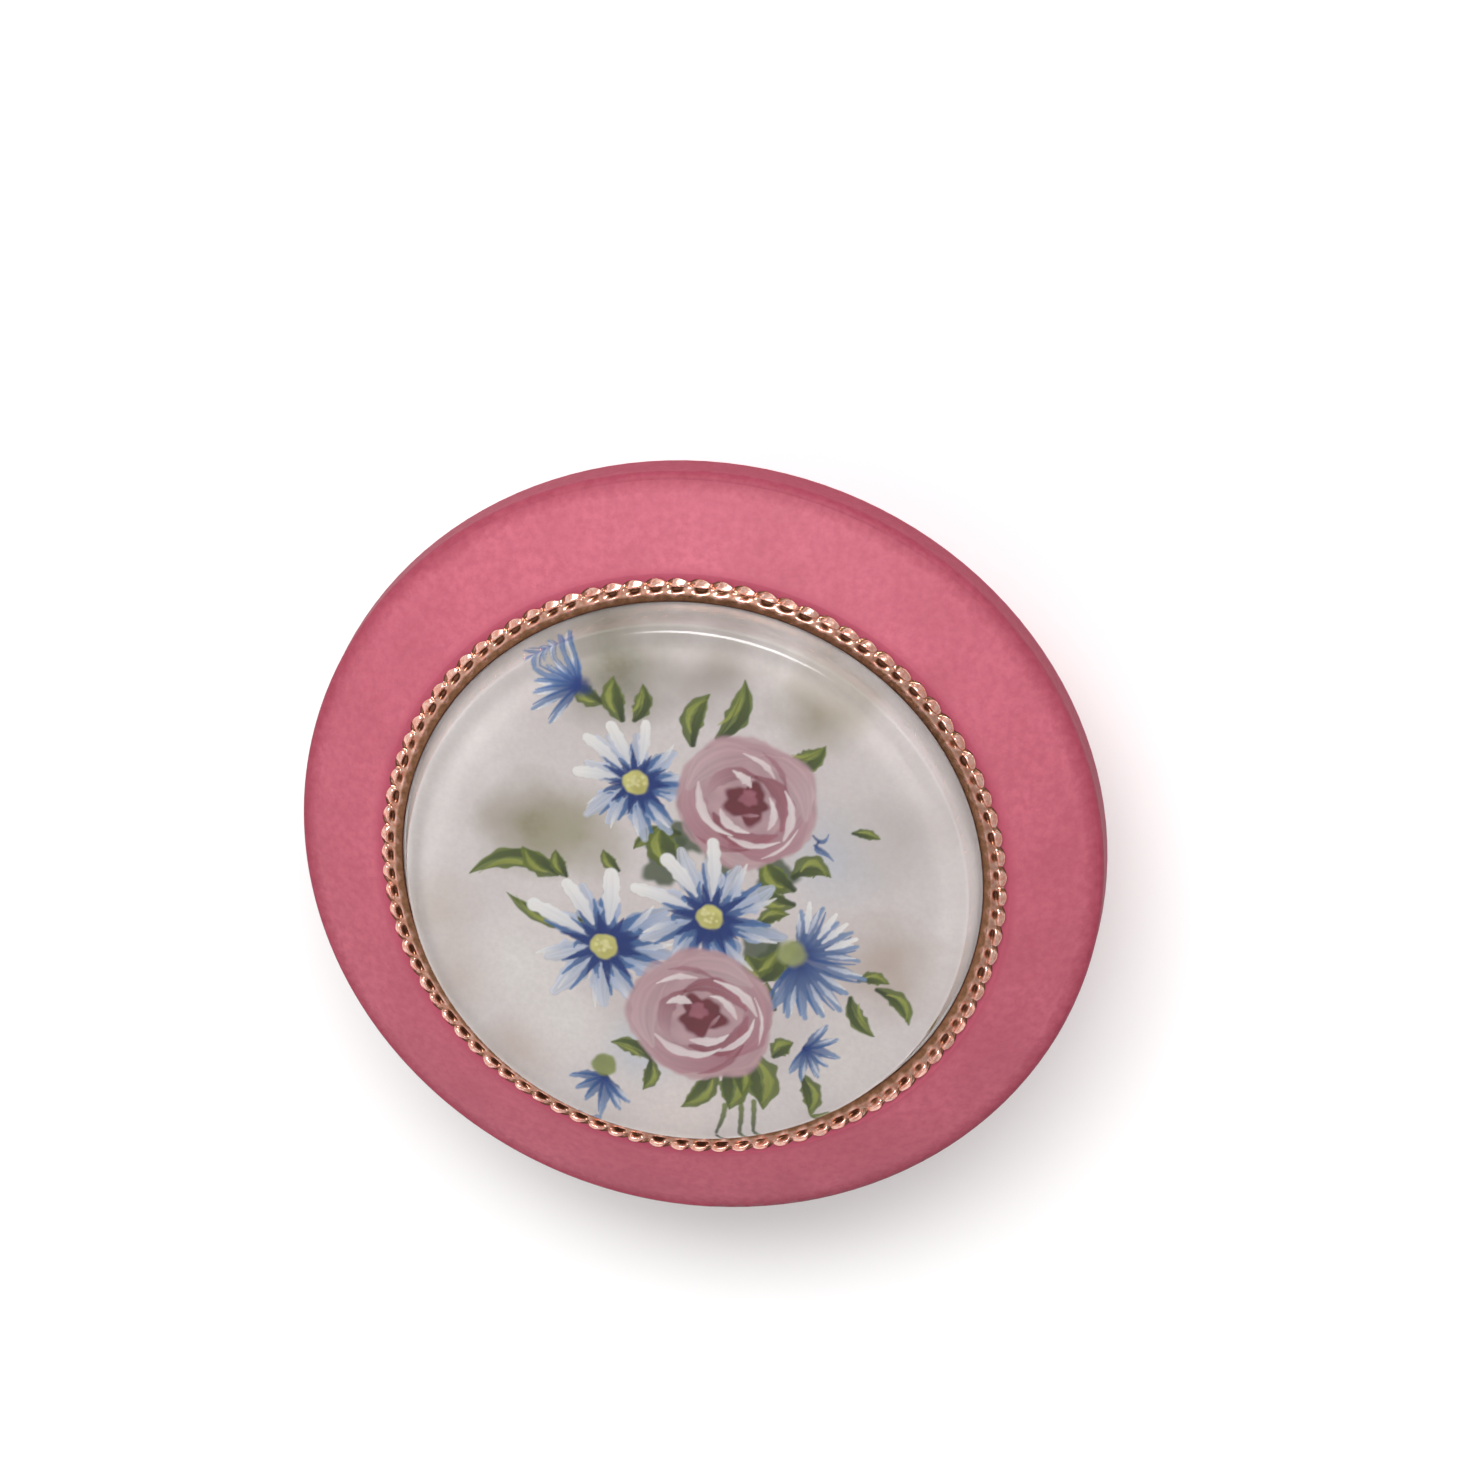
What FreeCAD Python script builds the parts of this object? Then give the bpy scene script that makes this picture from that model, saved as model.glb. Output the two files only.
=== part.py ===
"""Powder jar: a low tapered bowl under a wide lift-off lid that carries a crystal medallion.

Millimetres. The jar stands on its felt foot with the origin at the bottom centre, and +Z is its axis.
The bouquet on the lid stands upright when +Y points up the page.
"""
import FreeCAD, Part
import math
import os

V = FreeCAD.Vector
AXIS = V(0, 0, 1)

# Driving dimensions
LID_R = 40.0            # widest circle of the lid, at its lower edge
LID_Z = 26.0            # height of the lid's lower edge above the table
WALL = 1.7              # moulded wall of bowl and lid
FIT = 0.35              # radial play between lid skirt and bowl mouth
GAP = 0.1               # height left between pieces that only rest on each other
EDGE = 0.3              # rounding or bevel on moulded corners
QUARTER = 0.207         # bulge of a quarter circle: how far it stands out from its chord, as a share of it

# Bowl
FOOT_R = 22.4
FOOT_Z = 0.4            # the felt carries the jar, so the foot stays just clear of the table
MOUTH_R = 35.2
COLLAR_R = 37.0
COLLAR_Z = 22.2
LEDGE_Z = 14.0
LEDGE_R = 30.2
FLOOR_Z = 3.0
RIM_Z = LID_Z - GAP
BELLY = -0.005          # the cone is very slightly hollow
HOLLOW = 0.05           # and turns outwards into the collar

# Felt and liner
FELT_R = 20.0
FELT_T = 1.0
FELT_PLAY = 0.3
LINER_T = 0.8
LINER_PLAY = 0.45       # room round the liner in the bowl
LINER_FEET = 0.3        # room under the hanging liner
LINER_LIP_Z = LEDGE_Z + GAP
LINER_LIP_TOP = LINER_LIP_Z + LINER_T - GAP
LINER_LIP_R = LEDGE_R - 0.4
LINER_TOP_R = 28.2      # outside of the cup just under its lip
LINER_LOW_R = 22.5      # outside of the cup just above its floor
LINER_BEND = 1.1        # rounding between the liner's floor and side
POWDER_Z = 8.6
POWDER_PLAY = 0.2
POWDER_HEAP = 0.3

# Sifter
PLATE_Z = 15.2
PLATE_T = 0.8
PLATE_R = LINER_LIP_R
SPIGOT_R = 26.3
SPIGOT_T = 0.8
SPIGOT_DEPTH = 1.6
SHUTTER_R = 25.2
SHUTTER_Z = 14.3
SHUTTER_T = 0.7
RIVET_R = 1.5
RIVET_HEAD_R = 3.0
RIVET_HEAD_T = 0.5
RIVET_PLAY = 0.08
HOLE_R = 0.85
HOLE_RINGS = (8.5, 13.0, 17.5, 22.5)
HOLES_PER_RING = 12
SHUTTER_SWING = 15.0    # degrees from open to closed, half the pitch of the holes
KNOB_R = 0.95
KNOB_PATH_R = 20.0
SLOT_PLAY = 0.25

# Puff
PUFF_Z = 16.6
PUFF_R = 28.5
PUFF_TOP = 23.6
PIPING_R = 27.3
PIPING_T = 0.85
BACKING_R = 26.2
BACKING_T = 0.5
REBATE_DEPTH = 1.0      # step round the pad's upper edge in which the piping lies
RIBBON_HALF_WIDTH = 7.0
RIBBON_HALF_SPAN = 24.0
RIBBON_T = 0.5
RIBBON_RISE = 1.3
RIBBON_SEAM = 0.15

# Lid, heights above LID_Z
EDGE_Z = 2.6            # top of the upright side wall, where the edge starts to round over
DRAFT = 0.15
FLANGE_LOW_R = 39.2     # where the round edge meets the flange
FLANGE_LOW_Z = 3.38
FLANGE_MID_R = 35.2     # middle of the flange's gentle arc
FLANGE_MID_Z = 5.45
PLAIN_RING = 0.4        # flat left outside the bezel
SEAT_Z = 7.15           # flat ring on which the bezel lies
RECESS_Z = 5.7
RECESS_R = 30.2
CEILING_Z = RECESS_Z - WALL + 0.1
SKIRT_DEPTH = 3.7
SKIRT_R = MOUTH_R - FIT
SKIRT_IN_R = 33.4
LID_LINER_T = 0.4

# Medallion, heights above LID_Z
TRAY_R = 29.3
TRAY_T = 0.3
TRAY_HOLE_R = 1.8       # hole in tray and lid for the rivet
MEDALLION_HEAD_R = 3.3  # flared end of the rivet, in a well in the lid's ceiling
WELL_R = 3.7
WELL_DEPTH = 0.6
CARD_R = 28.6
CARD_Z = RECESS_Z + TRAY_T + 0.05
CARD_T = 0.38
PICTURE_Z = 6.45
PICTURE_T = 0.15
CRYSTAL_Z = 6.75
CRYSTAL_FLANGE_R = 29.1
CRYSTAL_FLANGE_T = 0.6
SIDE_TOP_R = 27.5       # where the crystal's steep side meets its round shoulder
SIDE_TOP_Z = 10.35
SHOULDER_R = 26.5       # where the shoulder meets the crown
SHOULDER_Z = 11.3
CRYSTAL_TOP = 11.95
BEZEL_TIP_R = 30.8
BEZEL_LIP_R = 28.5
BEZEL_CREST_R = 29.5
BEZEL_CREST_Z = 7.9
BEZEL_FOOT_R = 29.4     # inside of the bezel's foot, round the tray
BEZEL_ARCHES = 90
PIT_R = 0.42
NOTCH_R = 0.3


def at(point, base=0.0):
    """A point of a profile, given as radius and height above base."""
    return V(point[0], 0, point[1] + base)


def bulged(start, end, bulge):
    """Middle point of an arc that stands out from its chord by this share of it, on the right going along."""
    run = end[0] - start[0]
    climb = end[1] - start[1]
    return (start[0] + end[0]) / 2 + bulge * climb, (start[1] + end[1]) / 2 - bulge * run


def turned(base, start, *steps):
    """Solid of revolution about the axis, from the steps of its closed profile.

    Each step is a corner, or an arc: a bulge and the arc's end, or a point on the arc and the arc's end.
    """
    edges = []
    here = start
    for step in steps + (start,):
        if not isinstance(step[1], tuple):
            there = step
            edges.append(Part.LineSegment(at(here, base), at(there, base)).toShape())
        else:
            through, there = step
            if not isinstance(through, tuple):
                through = bulged(here, there, through)
            edges.append(Part.Arc(at(here, base), at(through, base), at(there, base)).toShape())
        here = there
    return Part.Face(Part.Wire(edges)).revolve(V(0, 0, 0), AXIS, 360)


def crown(edge_r, edge_z, top_z):
    """Step for a spherical cap, from a profile's point at edge_r and edge_z up to the axis at top_z."""
    rise = top_z - edge_z
    sphere_r = (edge_r ** 2 + rise ** 2) / (2 * rise)
    half_r = edge_r / 2
    return (half_r, top_z - sphere_r + math.sqrt(sphere_r ** 2 - half_r ** 2)), (0.0, top_z)


def disc(radius, low, thickness, hole=0.0):
    """Flat round plate, with a hole in its middle if one is wanted."""
    plate = Part.makeCylinder(radius, thickness, V(0, 0, low))
    if hole:
        plate = plate.cut(Part.makeCylinder(hole, thickness * 3, V(0, 0, low - thickness)))
    return plate


def around(radius, degrees):
    """Place on a circle about the axis."""
    return V(radius * math.cos(math.radians(degrees)), radius * math.sin(math.radians(degrees)), 0)


def posts(post_r, low, height, circle_r, count, start=0.0):
    """Evenly spaced upright cylinders on a circle, as one compound to cut with."""
    places = [around(circle_r, start + 360.0 * i / count) + V(0, 0, low) for i in range(count)]
    return Part.makeCompound([Part.makeCylinder(post_r, height, place) for place in places])


def sifter_holes(low, height):
    """The pattern shared by the sifter plate and its shutter."""
    rings = [posts(HOLE_R, low, height, ring_r, HOLES_PER_RING) for ring_r in HOLE_RINGS]
    return Part.makeCompound(rings)


def bowl():
    """Tapered bowl with an upright collar, an inner ledge for the liner and a recess for the felt."""
    felt_side = FELT_R + FELT_PLAY
    well_r = LINER_LOW_R + LINER_PLAY
    return turned(
        0.0,
        (0.0, FELT_T), (felt_side, FELT_T), (felt_side, FOOT_Z + EDGE), (QUARTER, (felt_side + EDGE, FOOT_Z)),
        (FOOT_R - EDGE, FOOT_Z), (QUARTER, (FOOT_R + EDGE, FOOT_Z + 2 * EDGE)),
        (BELLY, (COLLAR_R - 2 * EDGE, COLLAR_Z - 1.0)), (HOLLOW, (COLLAR_R, COLLAR_Z)),
        (COLLAR_R, RIM_Z - EDGE), (QUARTER, (COLLAR_R - EDGE, RIM_Z)),
        (MOUTH_R + EDGE, RIM_Z), (QUARTER, (MOUTH_R, RIM_Z - EDGE)),
        (MOUTH_R, COLLAR_Z - EDGE), (LEDGE_R, LEDGE_Z + 2 * EDGE), (LEDGE_R, LEDGE_Z),
        (LINER_TOP_R + LINER_PLAY, LEDGE_Z), (well_r, FLOOR_Z + 2 * EDGE),
        (-QUARTER, (well_r - 2 * EDGE, FLOOR_Z)),
        (0.0, FLOOR_Z),
    )


def powder_liner():
    """Thin cup that hangs from the bowl's ledge by its lip."""
    bottom = FLOOR_Z + LINER_FEET
    floor = bottom + LINER_T
    inner_r = LINER_LOW_R - LINER_T
    return turned(
        0.0,
        (0.0, bottom), (LINER_LOW_R - LINER_BEND, bottom), (QUARTER, (LINER_LOW_R, bottom + LINER_BEND)),
        (LINER_TOP_R, LINER_LIP_Z), (LINER_LIP_R, LINER_LIP_Z), (LINER_LIP_R, LINER_LIP_TOP),
        (LINER_TOP_R - LINER_T, LINER_LIP_TOP), (inner_r, floor + LINER_BEND / 2),
        (-QUARTER, (inner_r - LINER_BEND / 2, floor)), (0.0, floor),
    )


def loose_powder():
    """The powder in the liner, slightly heaped in the middle."""
    low = FLOOR_Z + LINER_FEET + LINER_T + GAP / 2
    slope = (LINER_TOP_R - LINER_LOW_R) / (LINER_LIP_Z - FLOOR_Z - LINER_FEET - LINER_BEND)
    side_r = LINER_LOW_R - LINER_T - POWDER_PLAY
    shore_r = side_r + slope * (POWDER_Z - low - LINER_BEND)
    return turned(
        0.0,
        (0.0, low), (side_r - LINER_BEND, low), (side_r, low + LINER_BEND), (shore_r, POWDER_Z),
        crown(shore_r, POWDER_Z, POWDER_Z + POWDER_HEAP),
    )


def sifter_plate():
    """Pierced plate with a spigot that centres it in the liner and a curved slot for the shutter's knob."""
    below = PLATE_Z - SPIGOT_DEPTH
    plate = disc(PLATE_R, PLATE_Z, PLATE_T, RIVET_R)
    spigot = disc(SPIGOT_R, below, SPIGOT_DEPTH, SPIGOT_R - SPIGOT_T)
    steps = 7
    slot = []
    for i in range(steps):
        place = around(KNOB_PATH_R, -90 - SHUTTER_SWING / 2 + SHUTTER_SWING * i / (steps - 1))
        slot.append(Part.makeCylinder(KNOB_R + SLOT_PLAY, 3 * PLATE_T, place + V(0, 0, PLATE_Z - PLATE_T)))
    drilled = plate.fuse(spigot).cut(sifter_holes(below, SPIGOT_DEPTH + 2 * PLATE_T))
    return drilled.cut(slot[0].multiFuse(slot[1:])).removeSplitter()


def sifter_shutter():
    """Turning disc under the plate: its holes meet the plate's when open and its lands close them."""
    shutter = disc(SHUTTER_R, SHUTTER_Z, SHUTTER_T, RIVET_R + RIVET_PLAY)
    knob_place = around(KNOB_PATH_R, -90 - SHUTTER_SWING / 2) + V(0, 0, SHUTTER_Z)
    knob = Part.makeCylinder(KNOB_R, PLATE_Z + PLATE_T - GAP - SHUTTER_Z, knob_place)
    return shutter.cut(sifter_holes(SHUTTER_Z - SHUTTER_T, 3 * SHUTTER_T)).fuse(knob).removeSplitter()


def sifter_rivet():
    """Headed hub on which the shutter turns."""
    low = SHUTTER_Z - GAP - RIVET_HEAD_T
    high = PLATE_Z + PLATE_T
    bevel = 0.2
    return turned(
        0.0,
        (0.0, low), (RIVET_HEAD_R - bevel, low), (RIVET_HEAD_R, low + bevel),
        (RIVET_HEAD_R, low + RIVET_HEAD_T), (RIVET_R, low + RIVET_HEAD_T),
        (RIVET_R, high), (RIVET_HEAD_R, high), crown(RIVET_HEAD_R, high, high + EDGE),
    )


def puff_pad():
    """Velour pad with a full round edge and a rebate for the piping."""
    rebate_z = PUFF_TOP - REBATE_DEPTH
    roll = 2.8
    return turned(
        0.0,
        (0.0, PUFF_Z), (PUFF_R - roll, PUFF_Z), (QUARTER, (PUFF_R, PUFF_Z + roll)),
        (QUARTER, (PUFF_R - REBATE_DEPTH, rebate_z)), (BACKING_R, rebate_z), (BACKING_R, PUFF_TOP),
        (0.0, PUFF_TOP),
    )


def puff_ribbon():
    """Flat ribbon sewn across the puff's back, arched just enough for a finger."""
    low = PUFF_TOP + BACKING_T + RIBBON_SEAM
    ends = [V(-RIBBON_HALF_SPAN, 0, low), V(RIBBON_HALF_SPAN, 0, low)]
    under = Part.Arc(ends[0], V(0, 0, low + RIBBON_RISE), ends[1]).toShape()
    lift = V(0, 0, RIBBON_T)
    over = Part.Arc(ends[1] + lift, V(0, 0, low + RIBBON_RISE + RIBBON_T), ends[0] + lift).toShape()
    right = Part.LineSegment(ends[1], ends[1] + lift).toShape()
    left = Part.LineSegment(ends[0] + lift, ends[0]).toShape()
    side = Part.Face(Part.Wire([under, right, over, left]))
    side.translate(V(0, -RIBBON_HALF_WIDTH, 0))
    return side.extrude(V(0, 2 * RIBBON_HALF_WIDTH, 0))


def lid_shell():
    """Wide shallow lid: short side wall, round edge, gently domed flange, recess and locating skirt."""
    return turned(
        LID_Z,
        (TRAY_HOLE_R, RECESS_Z), (RECESS_R, RECESS_Z), (RECESS_R, SEAT_Z), (BEZEL_TIP_R + PLAIN_RING, SEAT_Z),
        ((FLANGE_MID_R, FLANGE_MID_Z), (FLANGE_LOW_R, FLANGE_LOW_Z)), (-QUARTER, (LID_R - DRAFT, EDGE_Z)),
        (LID_R, DRAFT), (LID_R - DRAFT, 0.0), (SKIRT_R, 0.0), (SKIRT_R, EDGE - SKIRT_DEPTH),
        (SKIRT_R - EDGE, -SKIRT_DEPTH), (SKIRT_IN_R + EDGE, -SKIRT_DEPTH), (SKIRT_IN_R, EDGE - SKIRT_DEPTH),
        (SKIRT_IN_R, CEILING_Z - 2 * EDGE), (QUARTER, (SKIRT_IN_R - 2 * EDGE, CEILING_Z)),
        (WELL_R, CEILING_Z), (WELL_R, CEILING_Z + WELL_DEPTH), (TRAY_HOLE_R, CEILING_Z + WELL_DEPTH),
    )


def medallion_tray():
    """Pressed brass pan that holds card and picture."""
    wall_r = TRAY_R - 0.25
    floor = RECESS_Z + TRAY_T
    rim = PICTURE_Z + PICTURE_T
    return turned(
        LID_Z,
        (TRAY_HOLE_R, RECESS_Z), (TRAY_R, RECESS_Z), (TRAY_R, rim), (wall_r, rim), (wall_r, floor),
        (TRAY_HOLE_R, floor),
    )


def medallion_rivet():
    """Hollow rivet that clamps the tray to the lid."""
    shank_r = TRAY_HOLE_R - 0.05
    bore_r = 1.0
    tray_top = RECESS_Z + TRAY_T
    low = CEILING_Z + 0.15
    well_top = CEILING_Z + WELL_DEPTH
    return turned(
        LID_Z,
        (bore_r, low), (MEDALLION_HEAD_R, low), (MEDALLION_HEAD_R, well_top), (shank_r, well_top),
        (shank_r, tray_top), (MEDALLION_HEAD_R - EDGE, tray_top),
        (MEDALLION_HEAD_R - 2 * EDGE, tray_top + EDGE),
        (0.0, tray_top + EDGE), (0.0, tray_top - 0.2), (bore_r, tray_top - 0.2),
    )


def crystal():
    """Thick clear dome: thin flange under the bezel, steep side, round shoulder, nearly flat crown."""
    flange_top = CRYSTAL_Z + CRYSTAL_FLANGE_T
    return turned(
        LID_Z,
        (0.0, CRYSTAL_Z), (CRYSTAL_FLANGE_R, CRYSTAL_Z), (CRYSTAL_FLANGE_R, flange_top),
        (BEZEL_LIP_R - 0.08, flange_top), (SIDE_TOP_R, SIDE_TOP_Z), (0.15, (SHOULDER_R, SHOULDER_Z)),
        crown(SHOULDER_R, SHOULDER_Z, CRYSTAL_TOP),
    )


def bezel_ring():
    """Gallery bezel: smooth inner bevel, then a row of small pierced arches with a scalloped outer edge."""
    lip_z = CRYSTAL_Z + CRYSTAL_FLANGE_T + 0.03
    lip_t = 0.2
    foot_z = RECESS_Z + 0.05
    seat_z = SEAT_Z + 0.02
    outer_foot_r = RECESS_R - 0.1
    flat = 0.1
    ring = turned(
        LID_Z,
        (BEZEL_FOOT_R, foot_z), (outer_foot_r, foot_z), (outer_foot_r, seat_z),
        (BEZEL_TIP_R - 2 * flat, seat_z), (BEZEL_TIP_R, seat_z + lip_t),
        (BEZEL_CREST_R + flat, BEZEL_CREST_Z), (BEZEL_CREST_R - flat, BEZEL_CREST_Z),
        (BEZEL_LIP_R, lip_z + lip_t), (BEZEL_LIP_R, lip_z),
        (BEZEL_FOOT_R, lip_z),
    )
    half_pitch = 180.0 / BEZEL_ARCHES
    pit_path_r = (BEZEL_CREST_R + BEZEL_TIP_R) / 2
    pits = posts(PIT_R, LID_Z + seat_z + lip_t, 2.0, pit_path_r, BEZEL_ARCHES)
    notches = posts(NOTCH_R, LID_Z + SEAT_Z - 0.5, 2.0, BEZEL_TIP_R + flat, BEZEL_ARCHES, half_pitch)
    return ring.cut(pits).cut(notches)


def nodes():
    """Every sub-part of the jar by name."""
    seal_low = LINER_LIP_TOP + GAP / 2
    seal_hole = SPIGOT_R + 0.9
    return {
        "bowl": bowl(),
        "base_felt": disc(FELT_R, 0.0, FELT_T),
        "powder_liner": powder_liner(),
        "loose_powder": loose_powder(),
        "sifter_seal": disc(PLATE_R - 0.2, seal_low, PLATE_Z - seal_low, seal_hole),
        "sifter_plate": sifter_plate(),
        "sifter_shutter": sifter_shutter(),
        "sifter_rivet": sifter_rivet(),
        "puff_pad": puff_pad(),
        "puff_backing": disc(BACKING_R, PUFF_TOP + 0.02, BACKING_T),
        "puff_piping": Part.makeTorus(PIPING_R, PIPING_T, V(0, 0, PUFF_TOP - GAP)),
        "puff_ribbon": puff_ribbon(),
        "lid_shell": lid_shell(),
        "lid_liner": disc(SKIRT_IN_R - 1.0, LID_Z + CEILING_Z - 0.02 - LID_LINER_T, LID_LINER_T),
        "medallion_tray": medallion_tray(),
        "medallion_rivet": medallion_rivet(),
        "backing_card": disc(CARD_R, LID_Z + CARD_Z, CARD_T, MEDALLION_HEAD_R),
        "picture_disc": disc(CARD_R, LID_Z + PICTURE_Z, PICTURE_T),
        "crystal": crystal(),
        "bezel_ring": bezel_ring(),
    }


def main():
    os.makedirs("parts", exist_ok=True)
    for name, shape in nodes().items():
        print(f"{name:16s} valid={shape.isValid()} solids={len(shape.Solids)} volume={shape.Volume:.1f} mm3")
        shape.exportStep(f"parts/{name}.step")


main()
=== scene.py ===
"""Looks of the powder jar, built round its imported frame.

Metres, in the frame of the CAD model: +Z is the jar's axis and +Y points to the top of the bouquet.
"""
import bpy
import math
import mathutils
import numpy as np
from mathutils import Matrix, Vector


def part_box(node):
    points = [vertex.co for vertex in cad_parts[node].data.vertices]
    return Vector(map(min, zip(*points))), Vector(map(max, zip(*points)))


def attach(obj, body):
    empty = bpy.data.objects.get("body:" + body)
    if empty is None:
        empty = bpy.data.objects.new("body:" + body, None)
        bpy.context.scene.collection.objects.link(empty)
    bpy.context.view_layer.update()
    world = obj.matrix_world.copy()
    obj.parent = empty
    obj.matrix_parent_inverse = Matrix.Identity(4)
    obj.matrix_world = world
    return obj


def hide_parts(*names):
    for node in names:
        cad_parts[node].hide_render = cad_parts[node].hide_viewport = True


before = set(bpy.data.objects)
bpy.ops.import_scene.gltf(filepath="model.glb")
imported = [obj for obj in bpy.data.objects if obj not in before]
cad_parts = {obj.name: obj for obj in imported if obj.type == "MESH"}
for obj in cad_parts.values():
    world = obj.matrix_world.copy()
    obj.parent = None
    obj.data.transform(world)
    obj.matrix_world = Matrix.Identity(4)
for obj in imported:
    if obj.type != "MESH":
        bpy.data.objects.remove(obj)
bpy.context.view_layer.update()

MM = 0.001
LID_LOW, LID_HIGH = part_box("lid_shell")
SKIRT_DEPTH = 3.7 * MM
RIM_Z = LID_LOW.z + SKIRT_DEPTH         # the lid's lower edge, above the end of its skirt


# ---------------------------------------------------------------- mesh helpers

def mesh_object(name, points, faces):
    """A mesh object in the scene."""
    mesh = bpy.data.meshes.new(name)
    mesh.from_pydata([tuple(p) for p in points], [], [tuple(f) for f in faces])
    made = bpy.data.objects.new(name, mesh)
    bpy.context.scene.collection.objects.link(made)
    return made


def new_piece(name, points, faces, material, body, replaces=()):
    """A smooth mesh that rides on a CAD body and may stand for CAD nodes."""
    piece = mesh_object(name, points, faces)
    piece.data.validate()
    piece.data.polygons.foreach_set("use_smooth", [True] * len(piece.data.polygons))
    piece.data.materials.append(material)
    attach(piece, body)
    if replaces:
        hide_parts(*replaces)
    return piece


def at(radius, turn, height):
    """The point at a distance and direction from the axis."""
    return radius * math.cos(turn), radius * math.sin(turn), height


def even_turns(count):
    """Directions of so many even steps round the axis."""
    return [2 * math.pi * i / count for i in range(count)]


def band(first, second, count):
    """Quads between two closed rings of points that start at these numbers."""
    return [(first + i, second + i, second + (i + 1) % count, first + (i + 1) % count) for i in range(count)]


def wall(below, above, count):
    """Quads between two closed rings as well, each of which starts along the ring below."""
    return [(below + i, below + (i + 1) % count, above + (i + 1) % count, above + i) for i in range(count)]


def close_below(points, faces, foot):
    """Closes a round sheet: a wall from its outer ring down to the points of foot, and a flat base."""
    count, first = len(foot), len(points)
    points += foot
    faces += band(first - count, first, count)
    faces.append([first + i for i in reversed(range(count))])


def arc(start, end, bulge, count):
    """Points after start, up to end, on an arc that stands out by a share of its chord, on the right."""
    (x0, y0), (x1, y1) = start, end
    if not bulge:
        return [(x0 + (x1 - x0) * i / count, y0 + (y1 - y0) * i / count) for i in range(1, count + 1)]
    half_turn = 2 * math.atan(2 * bulge)
    chord = math.hypot(x1 - x0, y1 - y0)
    radius = chord / 2 / math.sin(half_turn)
    nx, ny = (y1 - y0) / chord, -(x1 - x0) / chord
    reach = radius * math.cos(half_turn)
    cx, cy = (x0 + x1) / 2 - nx * reach, (y0 + y1) / 2 - ny * reach
    first = math.atan2(y0 - cy, x0 - cx)
    turns = [first + 2 * half_turn * i / count for i in range(1, count + 1)]
    return [(cx + abs(radius) * math.cos(turn), cy + abs(radius) * math.sin(turn)) for turn in turns]


def outline(start, *steps):
    """A profile as points. Each step is (end, count) for a line or (end, count, bulge) for an arc."""
    points = [start]
    for step in steps:
        end, count = step[0], step[1]
        bulge = step[2] if len(step) > 2 else 0.0
        points += arc(points[-1], end, bulge, count)
    return points


def crown(edge, top, count):
    """Step for a spherical cap from a profile's point up to the axis."""
    slope = math.atan2(top - edge[1], edge[0])
    return (0.0, top), count, math.tan(slope / 2) / 2


def revolve(profile, count):
    """Points and faces of a profile of (radius, height) turned round the axis. Radius 0 makes a pole."""
    points, rings = [], []
    for radius, height in profile:
        if radius < 1e-9:
            rings.append([len(points)] * count)
            points.append((0.0, 0.0, height))
            continue
        rings.append(list(range(len(points), len(points) + count)))
        points += [at(radius, turn, height) for turn in even_turns(count)]
    faces = []
    for low, high in zip(rings, rings[1:]):
        for i in range(count):
            j = (i + 1) % count
            corners = list(dict.fromkeys((low[i], low[j], high[j], high[i])))
            if len(corners) > 2:
                faces.append(corners)
    return points, faces


def polar_sheet(radii, count, height):
    """Points and faces of a round sheet with a pole: height takes radius and turn."""
    points = [(0.0, 0.0, height(0.0, 0.0))]
    for radius in radii:
        points += [at(radius, turn, height(radius, turn)) for turn in even_turns(count)]
    faces = [(0, 1 + i, 1 + (i + 1) % count) for i in range(count)]
    for ring in range(len(radii) - 1):
        faces += band(1 + ring * count, 1 + (ring + 1) * count, count)
    return points, faces


def lumps(x, y, size, seed=0.0):
    """Smooth noise from -1 to 1 over the plane, its lumps about size metres."""
    return mathutils.noise.noise(Vector((x / size, y / size, seed)))


# ---------------------------------------------------------------- shader helpers

def add(tree, kind, inputs=(), **settings):
    """A shader node. Each input is a value, or an output of another node."""
    made = tree.nodes.new("ShaderNode" + kind)
    for name, value in settings.items():
        setattr(made, name, value)
    for name, value in dict(inputs).items():
        if isinstance(value, bpy.types.NodeSocket):
            tree.links.new(value, made.inputs[name])
        else:
            made.inputs[name].default_value = value
    return made


def here(tree):
    """Coordinates of the row frame, in metres."""
    return add(tree, "TexCoord").outputs["Object"]


def noise(tree, size, detail=2.0, rough=0.5, stretch=None):
    """Soft noise from 0 to 1 whose lumps are about size metres."""
    place = here(tree)
    if stretch:
        place = add(tree, "Mapping", {"Vector": place, "Scale": stretch}).outputs[0]
    values = {"Vector": place, "Scale": 1 / size, "Detail": detail, "Roughness": rough}
    return add(tree, "TexNoise", values).outputs[0]


def blend(tree, share, low, high):
    """Mix of two colours. Each is a colour or an output."""
    mixer = add(tree, "Mix", data_type="RGBA")
    for place, value in ((0, share), (6, low), (7, high)):
        if isinstance(value, bpy.types.NodeSocket):
            tree.links.new(value, mixer.inputs[place])
        else:
            mixer.inputs[place].default_value = (*value[:3], 1.0)
    return mixer.outputs[2]


def fit(tree, value, low, high, to_low=0.0, to_high=1.0):
    """Stretches value from the range low..high onto another, and clamps it."""
    values = {"Value": value, "From Min": low, "From Max": high, "To Min": to_low, "To Max": to_high}
    return add(tree, "MapRange", values).outputs[0]


def calc(tree, operation, first, second):
    """One arithmetic step."""
    return add(tree, "Math", {0: first, 1: second}, operation=operation).outputs[0]


def vector_calc(tree, operation, *inputs):
    """Outputs of one step of vector arithmetic."""
    return add(tree, "VectorMath", dict(enumerate(inputs)), operation=operation).outputs


def bump(tree, height, distance):
    """Normal of a surface raised by height times distance metres."""
    return add(tree, "Bump", {"Height": height, "Distance": distance}).outputs[0]


def mottled(first, last, *lump, low=0.3):
    """Maker of a colour that wanders between two display colours. Lump says how noise is called."""
    return lambda tree: blend(tree, fit(tree, noise(tree, *lump), low, 1 - low), srgb(*first), srgb(*last))


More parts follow.
